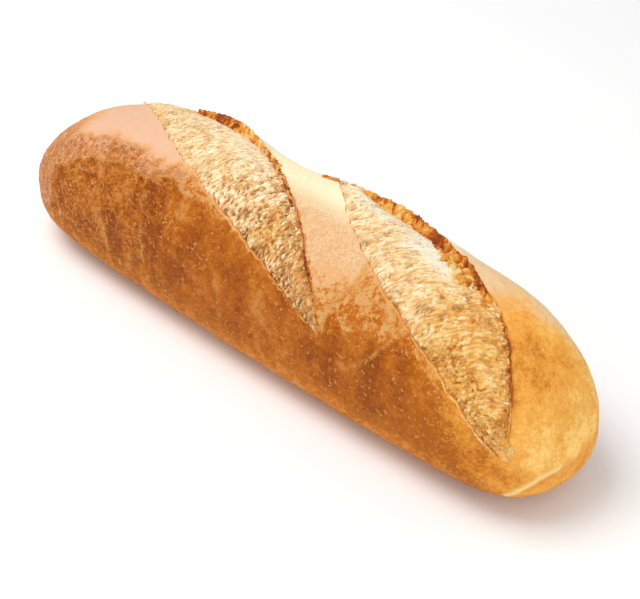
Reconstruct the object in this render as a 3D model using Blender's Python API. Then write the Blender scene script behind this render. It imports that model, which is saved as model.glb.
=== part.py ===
"""A short baguette: one solid loaf with two slanting scores, resting on its flat base.

The loaf lies along X with its origin at the centre of its base, +Z up. Its near side faces -Y.
Round the section, an angle of 0 is the top, 90 the near side and -90 the far side.
"""

import math

import bmesh
import bpy
import numpy as np

# Driving dimensions of the whole loaf, in metres.
LENGTH = 0.250
WIDTH = 0.0654
HEIGHT = 0.0616
WIDEST_HEIGHT = 0.0204
TIP_BEND = 0.0019

# Roundness of the section: 2 is an ellipse, more is squarer. The belly would reach below the
# ground by its overshoot, and is flat there.
CROWN_POWER = 2.43
BELLY_POWER = 2.45
BELLY_OVERSHOOT = 1.145

# Roundness of each end, seen from above (its near and far halves) and from the side (crown and
# belly). The near side is the straighter one.
LEFT_END = {"near": (9.8, 2.23), "far": (3.4, 2.23), "crown": (3.2, 1.94), "belly": 0.82}
RIGHT_END = {"near": (14.0, 2.33), "far": (2.85, 2.33), "crown": (4.4, 1.92), "belly": 0.70}

# The two scores. Each runs from a far tip over the top to a near tip, given as a place along X
# and an angle. Its near edge and its ear bow away from the line between the tips by so many
# degrees, with a power for the rise and for the fall of the bow.
SCORES = (
    {
        "far_tip": (-0.0976, -38.8),
        "near_tip": (0.0405, 67.3),
        "near_bow": (16.6, 0.74, 1.61),
        "near_wave": 0.7,
        "ear_bow": (38.7, 1.00, 0.73),
        "ear_wave": -5.6,
        "lip_height": 0.0025,
        "lip_place": 0.25,
        "sink": 0.0008,
        "sink_place": 0.35,
    },
    {
        "far_tip": (-0.0089, -52.0),
        "near_tip": (0.1140, 76.0),
        "near_bow": (16.6, 1.67, 1.96),
        "near_wave": 3.6,
        "ear_bow": (51.2, 1.56, 0.46),
        "ear_wave": -5.2,
        "lip_height": 0.0010,
        "lip_place": 0.34,
        "sink": 0.0031,
        "sink_place": 0.28,
    },
)
LIP_SPREAD = 0.30
SINK_SPREAD = 0.35
LEAST_LIP = 0.0005
EDGE_PADDING = 1.2
VALLEY_PLACE = 0.94
VALLEY_START = 0.30
CRUMB_BULGE = 0.0013
CRUST_STEP = 0.0010
CRUST_STEP_PLACE = 0.07
CRUST_RIM = 0.0004
RIM_REACH = 0.0020
EAR_REACH = 0.0085
EAR_LEAN = 0.0010
FULL_OPENING = 34.0
OPENING_POWER = 0.7
TIP_FADE = 0.05
ON_THE_EDGE = 1e-6
CRAG_HEIGHT = 0.0005
CRAG_WAVES = (11.0, 19.0)

# Shallow dips in the crust of the far side, one between the ears and one behind the second ear.
# The centre and the spread are given along X and in degrees round the section.
DIPS = (
    {"depth": 0.0024, "centre": (-0.018, -50.0), "spread": (0.020, 32.0)},
    {"depth": 0.0014, "centre": (0.062, -42.0), "spread": (0.018, 24.0)},
)

# Rings along the loaf, and rows round it from the base's near edge over the top to its far edge.
STATIONS = 104
STATION_POWER = 8.0
STATION_CLOSENESS = 0.75
SCORE_ROWS = 11
EDGE_ROW_SHARE = 0.03
CRUMB_ROW_SHARES = (0.12, 0.88)
BASE_ROWS = 4
CRUST_ROWS = {(): (34,), (0,): (15, 16), (0, 1): (10, 8, 12), (1,): (12, 17)}
ROW_BUNCHING = 0.6
ROW_POWER = 1.5
LEAST_BASE_ANGLE = 8.0
SHARP_ANGLE = math.radians(50.0)

CRUST_COLOUR = (0.58, 0.24, 0.055, 1.0)
CRUMB_COLOUR = (0.86, 0.70, 0.42, 1.0)


def smooth(low, high, value):
    """0 below low, 1 above high, and an even S between them."""
    t = np.clip((value - low) / (high - low), 0.0, 1.0)
    return t * t * (3.0 - 2.0 * t)


def end_profile(x, name):
    """Share of the full width or height that is left at x, from 1 at the middle to 0 at a tip."""
    t = np.clip(np.abs(x) / (LENGTH / 2.0), 0.0, 1.0)
    left = (1.0 - t ** LEFT_END[name][0]) ** (1.0 / LEFT_END[name][1])
    right = (1.0 - t ** RIGHT_END[name][0]) ** (1.0 / RIGHT_END[name][1])
    return np.where(x < 0.0, left, right)


def belly_profile(x):
    """Depth under the widest line at x, as a share of the widest line's height."""
    power = np.where(x < 0.0, LEFT_END["belly"], RIGHT_END["belly"])
    plan = (end_profile(x, "near") + end_profile(x, "far")) / 2.0
    return BELLY_OVERSHOOT * plan ** power


def body(x, angle):
    """Point on the plain loaf, before its scores."""
    turn = np.radians(angle)
    across = -np.sin(turn)
    up = np.cos(turn)
    power = np.where(up >= 0.0, CROWN_POWER, BELLY_POWER)
    reach = (np.abs(across) ** power + np.abs(up) ** power) ** (-1.0 / power)
    crown = (HEIGHT - WIDEST_HEIGHT) * end_profile(x, "crown")
    belly = WIDEST_HEIGHT * belly_profile(x)
    plan = np.where(across < 0.0, end_profile(x, "near"), end_profile(x, "far"))
    y = WIDTH / 2.0 * plan * across * reach + TIP_BEND * (2.0 * x / LENGTH) ** 2
    z = WIDEST_HEIGHT + np.where(up >= 0.0, crown, belly) * up * reach
    return np.stack([np.broadcast_to(x, y.shape), y, z], axis=-1)


def unit(vectors):
    return vectors / np.linalg.norm(vectors, axis=-1, keepdims=True)


def body_frame(x, angle):
    """Outward normal, direction of rising angle, and metres of girth for each degree."""
    step_x = 1e-4
    step_angle = 0.05
    along = body(x + step_x, angle) - body(x - step_x, angle)
    around = body(x, angle + step_angle) - body(x, angle - step_angle)
    girth_per_degree = np.linalg.norm(around, axis=-1) / (2.0 * step_angle)
    return unit(np.cross(around, along)), unit(around), girth_per_degree


def bow(u, amount, rise, fall):
    """A hump along u from 0 to 1, as high as amount, with its powers at each end."""
    peak = rise / (rise + fall)
    top = peak ** rise * (1.0 - peak) ** fall
    inside = np.clip(u, 0.0, 1.0)
    return amount * inside ** rise * (1.0 - inside) ** fall / top


def along_score(score, x):
    """0 at the score's far tip, 1 at its near tip."""
    far_x = score["far_tip"][0]
    return (x - far_x) / (score["near_tip"][0] - far_x)


def score_edges(score, x):
    """Angles of the score's near edge and of its ear at x."""
    u = along_score(score, x)
    far_angle = score["far_tip"][1]
    middle = far_angle + (score["near_tip"][1] - far_angle) * np.clip(u, 0.0, 1.0)
    wave = np.sin(2.0 * math.pi * np.clip(u, 0.0, 1.0))
    near = middle + bow(u, *score["near_bow"]) + score["near_wave"] * wave + EDGE_PADDING
    ear = middle - bow(u, *score["ear_bow"]) + score["ear_wave"] * wave - EDGE_PADDING
    return near, ear


def slant_cosine(score, side, x, girth_per_degree):
    """Cosine of the slope at which an edge crosses the loaf, to turn girth into distance."""
    step = 5e-4
    change = score_edges(score, x + step)[side] - score_edges(score, x - step)[side]
    slope = change / (2.0 * step) * girth_per_degree
    return 1.0 / np.sqrt(1.0 + slope ** 2)


def lip_rise(score, u):
    """Height of the ear's lip above the plain loaf, with its crags."""
    hump = np.exp(-(((u - score["lip_place"]) / LIP_SPREAD) ** 2))
    crags = sum(np.sin(2.0 * math.pi * waves * u + waves) for waves in CRAG_WAVES)
    return LEAST_LIP + hump * (score["lip_height"] + CRAG_HEIGHT * crags)


def score_relief(score, x, angle, girth_per_degree):
    """Rise along the normal, and lean towards the near side, that one score gives the surface."""
    u = along_score(score, x)
    near, ear = score_edges(score, x)
    v = (near - angle) / (near - ear)
    fade = smooth(0.0, TIP_FADE, u) * smooth(0.0, TIP_FADE, 1.0 - u)
    opening = np.clip((near - ear) / FULL_OPENING, 0.0, 1.0) ** OPENING_POWER
    lip = lip_rise(score, u)

    hump = 1.0 - (2.0 * np.clip(v / VALLEY_PLACE, 0.0, 1.0) - 1.0) ** 2
    step_down = CRUST_STEP * (1.0 - smooth(0.0, CRUST_STEP_PLACE, v))
    sink = score["sink"] * np.exp(-(((u - score["sink_place"]) / SINK_SPREAD) ** 2))
    sink = sink * smooth(VALLEY_START, VALLEY_PLACE, v)
    crumb = (CRUMB_BULGE * hump - sink) * opening - step_down
    wall_share = np.clip((v - VALLEY_PLACE) / (1.0 - VALLEY_PLACE), 0.0, 1.0)
    inside = crumb + (lip - crumb) * wall_share

    before = np.maximum(angle - near, 0.0) * girth_per_degree
    before = before * slant_cosine(score, 0, x, girth_per_degree)
    beyond = np.maximum(ear - angle, 0.0) * girth_per_degree
    beyond = beyond * slant_cosine(score, 1, x, girth_per_degree)
    rim = CRUST_RIM * np.exp(-((before / RIM_REACH) ** 2))
    ear_back = lip * np.exp(-((beyond / EAR_REACH) ** 2))
    rise = np.where(v <= ON_THE_EDGE, rim, np.where(v >= 1.0, ear_back, inside))

    back_lean = np.exp(-((2.0 * beyond / EAR_REACH) ** 2))
    lean = EAR_LEAN * np.where(v >= 1.0, back_lean, wall_share ** 2)
    return rise * fade, lean * fade * np.clip(lip / score["lip_height"], 0.0, 1.0)


def surface(x, angle):
    """Point on the finished loaf: the plain body with its scores, ears and dip."""
    normal, around, girth_per_degree = body_frame(x, angle)
    rise = np.zeros_like(angle)
    lean = np.zeros_like(angle)
    for dip in DIPS:
        across_dip = (x - dip["centre"][0]) / dip["spread"][0]
        around_dip = (angle - dip["centre"][1]) / dip["spread"][1]
        rise = rise - dip["depth"] * np.exp(-(across_dip ** 2) - around_dip ** 2)
    for score in SCORES:
        score_rise, score_lean = score_relief(score, x, angle, girth_per_degree)
        rise = rise + score_rise
        lean = lean + score_lean
    points = body(x, angle) + normal * rise[:, None] + around * lean[:, None]
    points[:, 2] = np.maximum(points[:, 2], 0.0)
    return points


def station_places():
    """Places of the rings along X, closer together towards the ends."""
    t = np.linspace(-1.0, 1.0, STATIONS + 1)[1:-1]
    bunch = (t - np.sign(t) * np.abs(t) ** STATION_POWER) / (STATION_POWER - 1.0)
    return LENGTH / 2.0 * (t + STATION_CLOSENESS * bunch)


def base_half_angle(x):
    """Half the angle of the flat base, worked out from where the section meets the ground."""
    spare = max(float(belly_profile(x)) ** BELLY_POWER - 1.0, 0.0)
    return max(math.degrees(math.atan(spare ** (1.0 / BELLY_POWER))), LEAST_BASE_ANGLE)


def score_shares():
    """Shares of the way across a score: close at the crust's edge, and at the valley and wall."""
    crumb = np.linspace(*CRUMB_ROW_SHARES, SCORE_ROWS - 4)
    valley = (1.0 + VALLEY_PLACE) / 2.0
    return np.concatenate(([0.0, EDGE_ROW_SHARE], crumb, [VALLEY_PLACE, valley]))


def crust_shares(count, after_score, before_score):
    """Shares of the way across a stretch of crust, closer together beside a score."""
    t = np.arange(count) / count
    if after_score and before_score:
        return t - ROW_BUNCHING * np.sin(2.0 * math.pi * t) / (2.0 * math.pi)
    if after_score:
        return t ** ROW_POWER
    if before_score:
        return 1.0 - (1.0 - t) ** ROW_POWER
    return t


def ring_rows(x):
    """Falling angles of one ring's points, where each stretch starts, and which of them are crumb."""
    open_scores = tuple(i for i, score in enumerate(SCORES) if 0.0 < along_score(score, x) < 1.0)
    base = base_half_angle(x)
    counts = CRUST_ROWS[open_scores]
    stretches = []
    start = 180.0 - base
    name = "near base"
    for i, count in zip(open_scores, counts):
        near, ear = score_edges(SCORES[i], x)
        shares = crust_shares(count, name != "near base", True)
        stretches.append((name, start + (near - start) * shares))
        stretches.append((f"crumb {i}", near + (ear - near) * score_shares()))
        start = ear
        name = f"ear {i}"
    end = base - 180.0
    shares = crust_shares(counts[-1], name != "near base", False)
    stretches.append((name, start + (end - start) * shares))
    stretches.append(("far base", end - 2.0 * base * np.arange(BASE_ROWS) / BASE_ROWS))
    return stretches


def join_stretch(mesh, first, second, first_shares, second_shares, crumb):
    """Faces between two rows of points: four-sided where they match, else to the nearer point."""
    if len(first) == len(second):
        for j in range(len(first) - 1):
            face = mesh.faces.new((first[j], first[j + 1], second[j + 1], second[j]))
            face.material_index = int(crumb)
        return
    i = 0
    j = 0
    while i < len(first) - 1 or j < len(second) - 1:
        if j == len(second) - 1 or (i < len(first) - 1 and first_shares[i + 1] <= second_shares[j + 1]):
            mesh.faces.new((first[i], first[i + 1], second[j]))
            i += 1
        else:
            mesh.faces.new((first[i], second[j + 1], second[j]))
            j += 1


def ring_span(ring, start, end):
    """Points of a ring from one stretch's start to another's, and how far along each of them is."""
    points, angles, starts = ring
    last = starts[end] if end else len(points)
    spread = angles[starts[start]:last + 1]
    return (points + points[:1])[starts[start]:last + 1], (spread[0] - spread) / (spread[0] - spread[-1])


def join_rings(mesh, first, second):
    """Faces between two neighbouring rings, stretch by stretch where both have the same ones."""
    shared = [name for name in first[2] if name in second[2]]
    for start, end in zip(shared, shared[1:] + [None]):
        first_points, first_shares = ring_span(first, start, end)
        second_points, second_shares = ring_span(second, start, end)
        crumb = start.startswith("crumb")
        join_stretch(mesh, first_points, second_points, first_shares, second_shares, crumb)


def ring_of_points(mesh, x):
    """One ring's points, their angles closed by a full turn, and where each stretch starts."""
    stretches = ring_rows(x)
    angles = np.concatenate([rows for _, rows in stretches])
    points = surface(np.full_like(angles, x), angles)
    sizes = np.cumsum([0] + [len(rows) for _, rows in stretches])
    starts = {name: int(size) for (name, _), size in zip(stretches, sizes)}
    return [mesh.verts.new(point) for point in points], np.append(angles, angles[0] - 360.0), starts


def loaf_mesh():
    """The whole loaf: rings of points along X, joined by faces and closed by a fan at each end."""
    mesh = bmesh.new()
    rings = [ring_of_points(mesh, x) for x in station_places()]
    for first, second in zip(rings, rings[1:]):
        join_rings(mesh, first, second)
    for ring, side in ((rings[0][0], -1.0), (rings[-1][0], 1.0)):
        tip = mesh.verts.new((side * LENGTH / 2.0, TIP_BEND, WIDEST_HEIGHT))
        for j, vertex in enumerate(ring):
            mesh.faces.new((tip, vertex, ring[(j + 1) % len(ring)]))
    bmesh.ops.recalc_face_normals(mesh, faces=mesh.faces)
    bmesh.ops.triangulate(mesh, faces=mesh.faces)
    data = bpy.data.meshes.new("loaf")
    mesh.to_mesh(data)
    mesh.free()
    return data


def material(name, colour, roughness):
    made = bpy.data.materials.new(name)
    made.use_nodes = True
    shader = made.node_tree.nodes["Principled BSDF"]
    shader.inputs["Base Color"].default_value = colour
    shader.inputs["Roughness"].default_value = roughness
    shader.inputs["Metallic"].default_value = 0.0
    made.diffuse_color = colour
    return made


def main():
    for old in list(bpy.data.objects):
        bpy.data.objects.remove(old, do_unlink=True)
    data = loaf_mesh()
    data.materials.append(material("crust", CRUST_COLOUR, 0.55))
    data.materials.append(material("crumb", CRUMB_COLOUR, 0.85))
    data.shade_smooth()
    data.set_sharp_from_angle(angle=SHARP_ANGLE)
    loaf = bpy.data.objects.new("loaf", data)
    bpy.context.scene.collection.objects.link(loaf)


main()
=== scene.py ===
"""Looks of a short baguette: baked crust, torn crumb in two slanting scores, and craggy ears.

The loaf lies along X with its origin at the middle of its flat base and its near side facing -Y.
Round the section, an angle of 0 is the top, 90 the near side and -90 the far side.
"""

import math

import bmesh
import bpy
import numpy as np
from bpy.props import FloatProperty, FloatVectorProperty, IntProperty, PointerProperty
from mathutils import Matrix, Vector, noise


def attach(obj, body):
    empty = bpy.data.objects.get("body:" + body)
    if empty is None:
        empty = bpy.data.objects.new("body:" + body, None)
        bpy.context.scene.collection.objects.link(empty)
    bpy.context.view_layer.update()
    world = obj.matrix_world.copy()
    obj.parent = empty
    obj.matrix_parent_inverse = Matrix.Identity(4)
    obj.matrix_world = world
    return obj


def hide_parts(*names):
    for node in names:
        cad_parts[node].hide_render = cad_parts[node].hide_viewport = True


bl_info = {
    "name": "Baguette",
    "version": (1, 0, 0),
    "blender": (4, 5, 0),
    "location": "3D View > Sidebar > Baguette",
    "description": "Makes a short baguette with torn scores and craggy ears",
    "category": "Add Mesh",
}

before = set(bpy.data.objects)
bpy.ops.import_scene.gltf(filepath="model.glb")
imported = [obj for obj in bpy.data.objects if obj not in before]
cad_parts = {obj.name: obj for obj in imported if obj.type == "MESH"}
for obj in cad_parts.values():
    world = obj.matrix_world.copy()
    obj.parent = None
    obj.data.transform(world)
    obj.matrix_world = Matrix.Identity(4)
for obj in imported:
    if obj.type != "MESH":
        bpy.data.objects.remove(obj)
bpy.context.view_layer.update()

# The plain loaf, in metres.
LENGTH = 0.250
WIDTH = 0.0654
HEIGHT = 0.0616
WIDEST_HEIGHT = 0.0204
TIP_BEND = 0.0019
CROWN_POWER = 2.43
BELLY_POWER = 2.45
BELLY_OVERSHOOT = 1.145
LEFT_END = {"near": (9.8, 2.23), "far": (3.4, 2.23), "crown": (3.2, 1.94), "belly": 0.82}
RIGHT_END = {"near": (14.0, 2.33), "far": (2.85, 2.33), "crown": (4.4, 1.92), "belly": 0.70}

# The scores: a far tip and a near tip as a place along X and an angle, how far the near edge and
# the ear bow away from the line between them, the ear's lip, and the valley before it. The torn
# ear is thick between two shares of the score's length. Its knobs have a size and a height, and
# its band a breadth. The crumb turns from fibres to lumps between two shares of the length, and is
# pitted by some amount. Its fibres run round the loaf, turned by an angle, and have a length.
#
# How coarse, toasted and white the crumb is builds up from patches. Each has an amount, its course
# along the score, from 0 at the far tip to 1 at the near tip, and its course across it, from 0 at
# the near edge to 1 at the ear. A hump has a centre and a spread, a slope a start and an end, and
# None is even all over.
SCORES = (
    {
        "far_tip": (-0.0976, -38.8),
        "near_tip": (0.0405, 67.3),
        "near_bow": (16.6, 0.74, 1.61),
        "near_wave": 0.7,
        "ear_bow": (38.7, 1.00, 0.73),
        "ear_wave": -5.6,
        "lip_height": 0.0019,
        "lip_place": 0.25,
        "sink": 0.0008,
        "sink_place": 0.35,
        "thick_ear": (0.19, 0.48),
        "knob_size": 0.0020,
        "knob_height": 0.0010,
        "band": 0.0021,
        "lumpy": (0.42, 0.62),
        "pitted": 1.0,
        "fibre_turns": (36.0, 14.0),
        "fibre_length": 0.0026,
        "coarse": (
            (0.88, None, None),
            (0.80, ("slope", 0.50, 0.90), None),
        ),
        "toasted": (
            (0.10, None, None),
            (0.50, ("hump", 0.77, 0.05), ("hump", 0.40, 0.30)),
            (0.35, ("hump", 0.17, 0.12), ("slope", 0.25, 0.0)),
            (0.24, ("slope", 0.50, 0.85), None),
            (-0.20, ("slope", 0.85, 1.00), None),
        ),
        "white": (
            (0.40, ("hump", 0.45, 0.22), ("slope", 0.35, 0.85)),
            # Below 0 the first score's crumb is darker and greyer, most at its low end: painted shade.
            (-0.10, None, None),
            (-0.75, ("slope", 0.60, 1.00), None),
            (-0.90, ("slope", 0.84, 0.96), None),
        ),
    },
    {
        "far_tip": (-0.0089, -52.0),
        "near_tip": (0.1140, 76.0),
        "near_bow": (16.6, 1.67, 1.96),
        "near_wave": 3.6,
        "ear_bow": (51.2, 1.56, 0.46),
        "ear_wave": -5.2,
        "lip_height": 0.0003,
        "lip_place": 0.34,
        "sink": 0.0031,
        "sink_place": 0.28,
        "thick_ear": (0.02, 0.80),
        "knob_size": 0.0028,
        "knob_height": 0.0014,
        "band": 0.0052,
        "lumpy": (0.48, 0.70),
        "pitted": 0.6,
        "fibre_turns": (4.0, 58.0),
        "fibre_length": 0.0042,
        "coarse": (
            (0.40, None, None),
            (0.60, ("slope", 0.10, 0.26), None),
            (0.25, ("slope", 0.60, 0.85), None),
        ),
        "toasted": (
            (0.16, None, None),
            (0.80, ("slope", 0.50, 0.85), None),
            (-0.32, ("slope", 0.50, 0.85), ("slope", 0.60, 0.90)),
            (0.30, ("slope", 0.76, 0.94), None),
        ),
        "white": (
            (1.00, ("hump", 0.56, 0.16), ("slope", 0.35, 0.80)),
            (0.50, ("hump", 0.20, 0.20), ("slope", 0.00, 0.50)),
            (-0.16, ("slope", 0.25, 0.40), None),
            (-0.27, ("slope", 0.60, 0.80), None),
        ),
    },
)

# Small tears along the edges of a score and of the ears' bands: their height, their size along X
# and a seed. The height is in degrees, or a share of the band.
NEAR_TEARS = ((0.75, 0.0034, 0.0), (0.55, 0.0014, 1.0))
EAR_TEARS = ((0.90, 0.0052, 2.0), (0.70, 0.0022, 3.0))
BAND_TEARS = ((0.35, 0.0036, 2.0), (0.22, 0.0015, 4.0))
TEARS_FADE = 0.08

# What both scores share. A score is wider than its fitted outline by a padding in degrees, fully
# open from a breadth in degrees, and flat at its tips. Its valley lies at a share of the way
# across, and starts to sink at another. The lip and the valley spread along the score.
EDGE_PADDING = 1.2
FULL_OPENING = 34.0
OPENING_POWER = 0.7
TIP_FADE = 0.05
VALLEY_PLACE = 0.94
VALLEY_START = 0.30
LIP_SPREAD = 0.30
SINK_SPREAD = 0.35
LEAST_LIP = 0.0005
ON_THE_EDGE = 1e-6
NEAR_SIDE = 0
EAR_SIDE = 1

# The crumb's bulge, the crust's step down to it over a share of the way across, and in metres the
# crust's rim and how far it reaches, how far the ear's back reaches, and how far the ear leans.
CRUMB_BULGE = 0.0013
CRUST_STEP = 0.0010
CRUST_STEP_PLACE = 0.05
CRUST_RIM = 0.0004
RIM_REACH = 0.0020
EAR_REACH = 0.0085
EAR_LEAN = 0.0010

# Where the crust has sunk behind the ears.
DIPS = (
    {"depth": 0.0024, "centre": (-0.018, -50.0), "spread": (0.020, 32.0)},
    {"depth": 0.0014, "centre": (0.062, -42.0), "spread": (0.018, 24.0)},
)

# Pale folds in the crust, each a line of places along X and angles, with its paleness and its
# breadth. The crust is darker on the side that the line has on its right, out to a reach: partly
# more browned, and partly painted shade beside the fold.
FOLDS = (
    {"line": ((-0.0930, 100.0), (-0.0938, 88.0), (-0.0978, 54.0)),
     "pale": 1.2, "breadth": 0.0009, "dark": 0.35, "reach": 0.012},
    {"line": ((-0.0640, 92.0), (-0.0661, 78.5), (-0.0731, 47.0)),
     "pale": 1.1, "breadth": 0.0009, "dark": 0.9, "reach": 0.014},
    {"line": ((-0.0435, 82.0), (-0.0452, 73.0), (-0.0487, 49.0)),
     "pale": 1.2, "breadth": 0.0009, "dark": 0.8, "reach": 0.013},
    {"line": ((0.0422, 64.7), (0.0432, 47.4), (0.0458, 41.0), (0.0468, 32.2), (0.0464, 25.0)),
     "pale": 1.0, "breadth": 0.0006, "dark": 0.55, "reach": 0.014},
    {"line": ((0.0566, 72.6), (0.0601, 67.1), (0.0651, 56.8), (0.0686, 49.4), (0.0712, 43.5)),
     "pale": 1.0, "breadth": 0.0006, "dark": 0.55, "reach": 0.014},
    {"line": ((0.1145, 120.0), (0.1180, 109.5), (0.1215, 96.0), (0.1238, 92.0)),
     "pale": 2.4, "breadth": 0.0010, "dark": 0.0, "reach": 0.006},
)
FOLD_RISE = 0.00030
FOLD_WANDER = 0.0009
FOLD_SHADE_END = (1.0, 1.6)
# The darkness beside the folds, partly browning and partly painted shade, adds to the browning by this share.
FOLD_SHADE_AND_BROWNING = 0.40

# Random unevenness of the loaf: the size of its lumps, a seed, and octaves of detail. Each octave
# is finer by a step and weaker by a share.
FINER_SHARE = 0.7
FINER_STEP = 2.1
UNEVEN = {
    "swell": (0.017, 2.0, 2),
    "grain": (0.0026, 12.0, 3),
    "curl": ((0.0080, 0.0034, 0.0034), 36.0, 2),
    "fold": (0.0045, 31.0, 2),
    "large": (0.011, 4.0, 2),
    "middle": (0.009, 24.0, 2),
    "small": (0.0036, 6.0, 3),
    "golden": (0.012, 14.0, 3),
    "ear": (0.0045, 17.0, 2),
}

# Relief of the crust: a slow swell, blisters that are higher where it is browned and highest at
# the craggy left end, and that end's curls and the ledge at its darker browning.
SWELL_RISE = 0.00025
BLISTER_RISE = 0.00008
BROWNED_BLISTER_RISE = 0.00012
CRAGGY_BLISTER_RISE = 0.00020
CURL_RISE = 0.00055
LEDGE_RISE = 0.00060

# How far the bright rims along the scores and the pale base reach, in metres.
BRIGHT_RIM = 0.0006
BASE_REACH = (0.0002, 0.0040)

# A small crag of crust at the first score's near edge, near its far tip.
EDGE_CRAG = {"place": (-0.0890, -21.5), "height": 0.0014, "breadth": 0.0011}

# Borders of the browning on the near side: places along X, the angles at which light brown and
# dark brown start, and how soft both borders are, in degrees.
BORDERS = (
    (-0.1250, 26.0, 66.0, 6.0),
    (-0.1005, 28.0, 58.0, 4.0),
    (-0.0811, 26.0, 44.0, 3.5),
    (-0.0616, 27.0, 40.0, 3.5),
    (-0.0462, 30.0, 40.0, 3.5),
    (-0.0377, 25.0, 38.0, 4.0),
    (-0.0300, 34.0, 46.0, 10.0),
    (0.0000, 46.0, 72.0, 19.0),
    (0.0380, 42.0, 70.0, 19.0),
    (0.0480, 34.0, 64.0, 16.0),
    (0.0600, 22.0, 52.0, 11.0),
    (0.0750, 20.0, 52.0, 12.0),
    (0.0900, 34.0, 62.0, 14.0),
    (0.1000, 48.0, 84.0, 16.0),
    (0.1120, 66.0, 116.0, 16.0),
    (0.1250, 96.0, 160.0, 18.0),
)

# How ragged the borders are, in degrees: the light one for large and small lumps, and the dark one
# for middling and small lumps. The light one is more ragged at the right end and softer at the
# left, each by an amount between two places along X.
LIGHT_RAGGED = (3.0, 3.0)
DARK_RAGGED = (3.5, 2.5)
MORE_RAGGED = (1.8, 0.075, 0.100)
MORE_SOFT = (5.0, -0.020, -0.050)

# Under the first score, between two places along X, light brown starts some degrees above the
# score's near edge and dark brown at an angle, and the borders are sharper by a share.
UNDER_SCORE = {"start": (-0.036, -0.030), "edge": 2.0, "light_above": 6.0, "dark": 40.0, "sharper": 0.4}

# Low on the near side the crust is paler by a share, between two angles: partly it is less browned there, and
# partly it is painted light against the shade low on the side.
PALER_LOW_AND_PAINTED_LIGHT = (0.30, 86.0, 116.0)

# The left tip is evenly browned, from a ragged border along X that wanders and is softer on the
# top of the loaf, and fully browned at its very end. Over the top its browning fades out.
LEFT_TIP_BROWNING = 0.46
LEFT_TIP_BORDER = (-0.1010, -0.0945)
LEFT_TIP_END = (-0.1160, -0.1235)
LEFT_TIP_ANGLES = (-40.0, 36.0)
LEFT_TIP_TOP = (34.0, 4.0)
TOP_SOFTNESS = 0.0060
TIP_WANDER = {"height": 0.0016, "size": 11.0, "seed": 3.0}
TIP_RAGGED = (0.0008, 0.0024, 0.0020)

# A browned patch on the right end's top: its browning, and its centre and spread along X and in
# degrees. The far side's browning starts between two angles, and is paler at the right end.
RIGHT_PATCH = {"browning": 0.40, "along": (0.106, 0.012), "around": (12.0, 24.0)}
FAR_ANGLES = (42.0, 96.0)
FAR_RAGGED = 5.0
FAR_PALER = (0.5, 0.098, 0.116)

# The golden right end starts between two places along X, below a border of places and angles that
# has a soft width and is ragged, and takes in the whole tip.
GOLDEN_START = (0.070, 0.094)
GOLDEN_BORDER = ((0.070, -14.0), (0.099, -20.0), (0.110, -40.0), (0.118, -80.0), (0.124, -180.0))
GOLDEN_SOFTNESS = (-30.0, 14.0)
GOLDEN_RAGGED = (0.003, 11.0)
GOLDEN_TIP = (0.1195, 0.1235)

# Where the pale crust is pink: the left end and the side between the scores fully, and the right
# end by a share. Pairs are places along X or angles between which it comes or goes.
PINK_LEFT = (-0.020, -0.045)
PINK_ANGLES = (-12.0, 18.0)
PINK_MIDDLE_END = (0.080, 0.060)
PINK_RIGHT = (0.62, 0.050, 0.070)

# Where the crust is rosy, where its low sides start, on which it is painted lighter against the shade
# that falls there as they turn down, and where the right end is painted lighter against its shade: at
# the tip by a share, and on its far side.
ROSY_END = (-0.015, -0.060)
PAINTED_LIGHT_LOW_ANGLES = (80.0, 112.0)
PAINTED_LIGHT_TIP = (0.7, 0.112, 0.122)
PAINTED_LIGHT_ANGLES = (4.0, 36.0)

# The left end is craggy where it is browned, less so low down by a share. Its dark browning starts
# with a ledge, at a centre and spread of the browning, and falls away behind it by a share.
CRAGGY_BROWNING = (0.2, 0.7)
CRAGGY_END = (0.010, -0.060)
CRAGGY_LOW = (0.6, 58.0, 76.0)
LEDGE_AT = (0.22, 0.16)
LEDGE_FALL = (1.1, 0.35, 0.90)
# The ledge's pale line, a painted highlight along it, ends between two places along X and between two angles.
LEDGE_END = (-0.030, -0.045)
LEDGE_ANGLES = (70.0, 60.0)

# Browning and colours at the loaf's two tips.
TIP_MARKS = {"browning": (LEFT_TIP_BROWNING, 0.3), "golden": (0.0, 1.0), "pink": (1.0, 0.0),
             "rosy": (1.0, 0.0)}

# Rings along the loaf, and rows round it. The rows of crust go by which scores are open at a ring,
# and lie closer together beside a score.
STATIONS = 500
STATION_POWER = 8.0
STATION_CLOSENESS = 0.75
FLOOR_SHARES = (0.008, 0.05, 0.20, 0.40, 0.60, 0.78, 0.90)
WALL_ROWS = 8
BASE_ROWS = 10
CRUST_ROWS = {(): (156,), (0,): (86, 70), (0, 1): (60, 40, 56), (1,): (76, 70)}
ROW_BUNCHING = 0.6
ROW_POWER = 1.4
LEAST_BASE_ANGLE = 8.0
METRES_PER_DEGREE = 0.00056
SHARP_ANGLE = 62.0

# The torn crumb: its columns and rows, its shares along and across the score, its thickness, the
# height of its relief, and how far it swells beside the crust and is tucked in at its edges. The
# loaf lies a little lower under it.
CRUMB_COLUMNS = 540
CRUMB_ROWS = 88
CRUMB_TIPS = (0.004, 0.999)
CRUMB_SPAN = (-0.015, 0.965)
CRUMB_THICKNESS = 0.0016
CRUMB_RISE = 0.0009
CRUMB_SWELL = 0.0006
NEAR_TUCK = 0.0006
EAR_TUCK = 0.0007
TIP_TUCK = 0.0002
CRUMB_COVER = 0.0008
COVER_START = 0.006
COVER_END = 0.6

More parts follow.
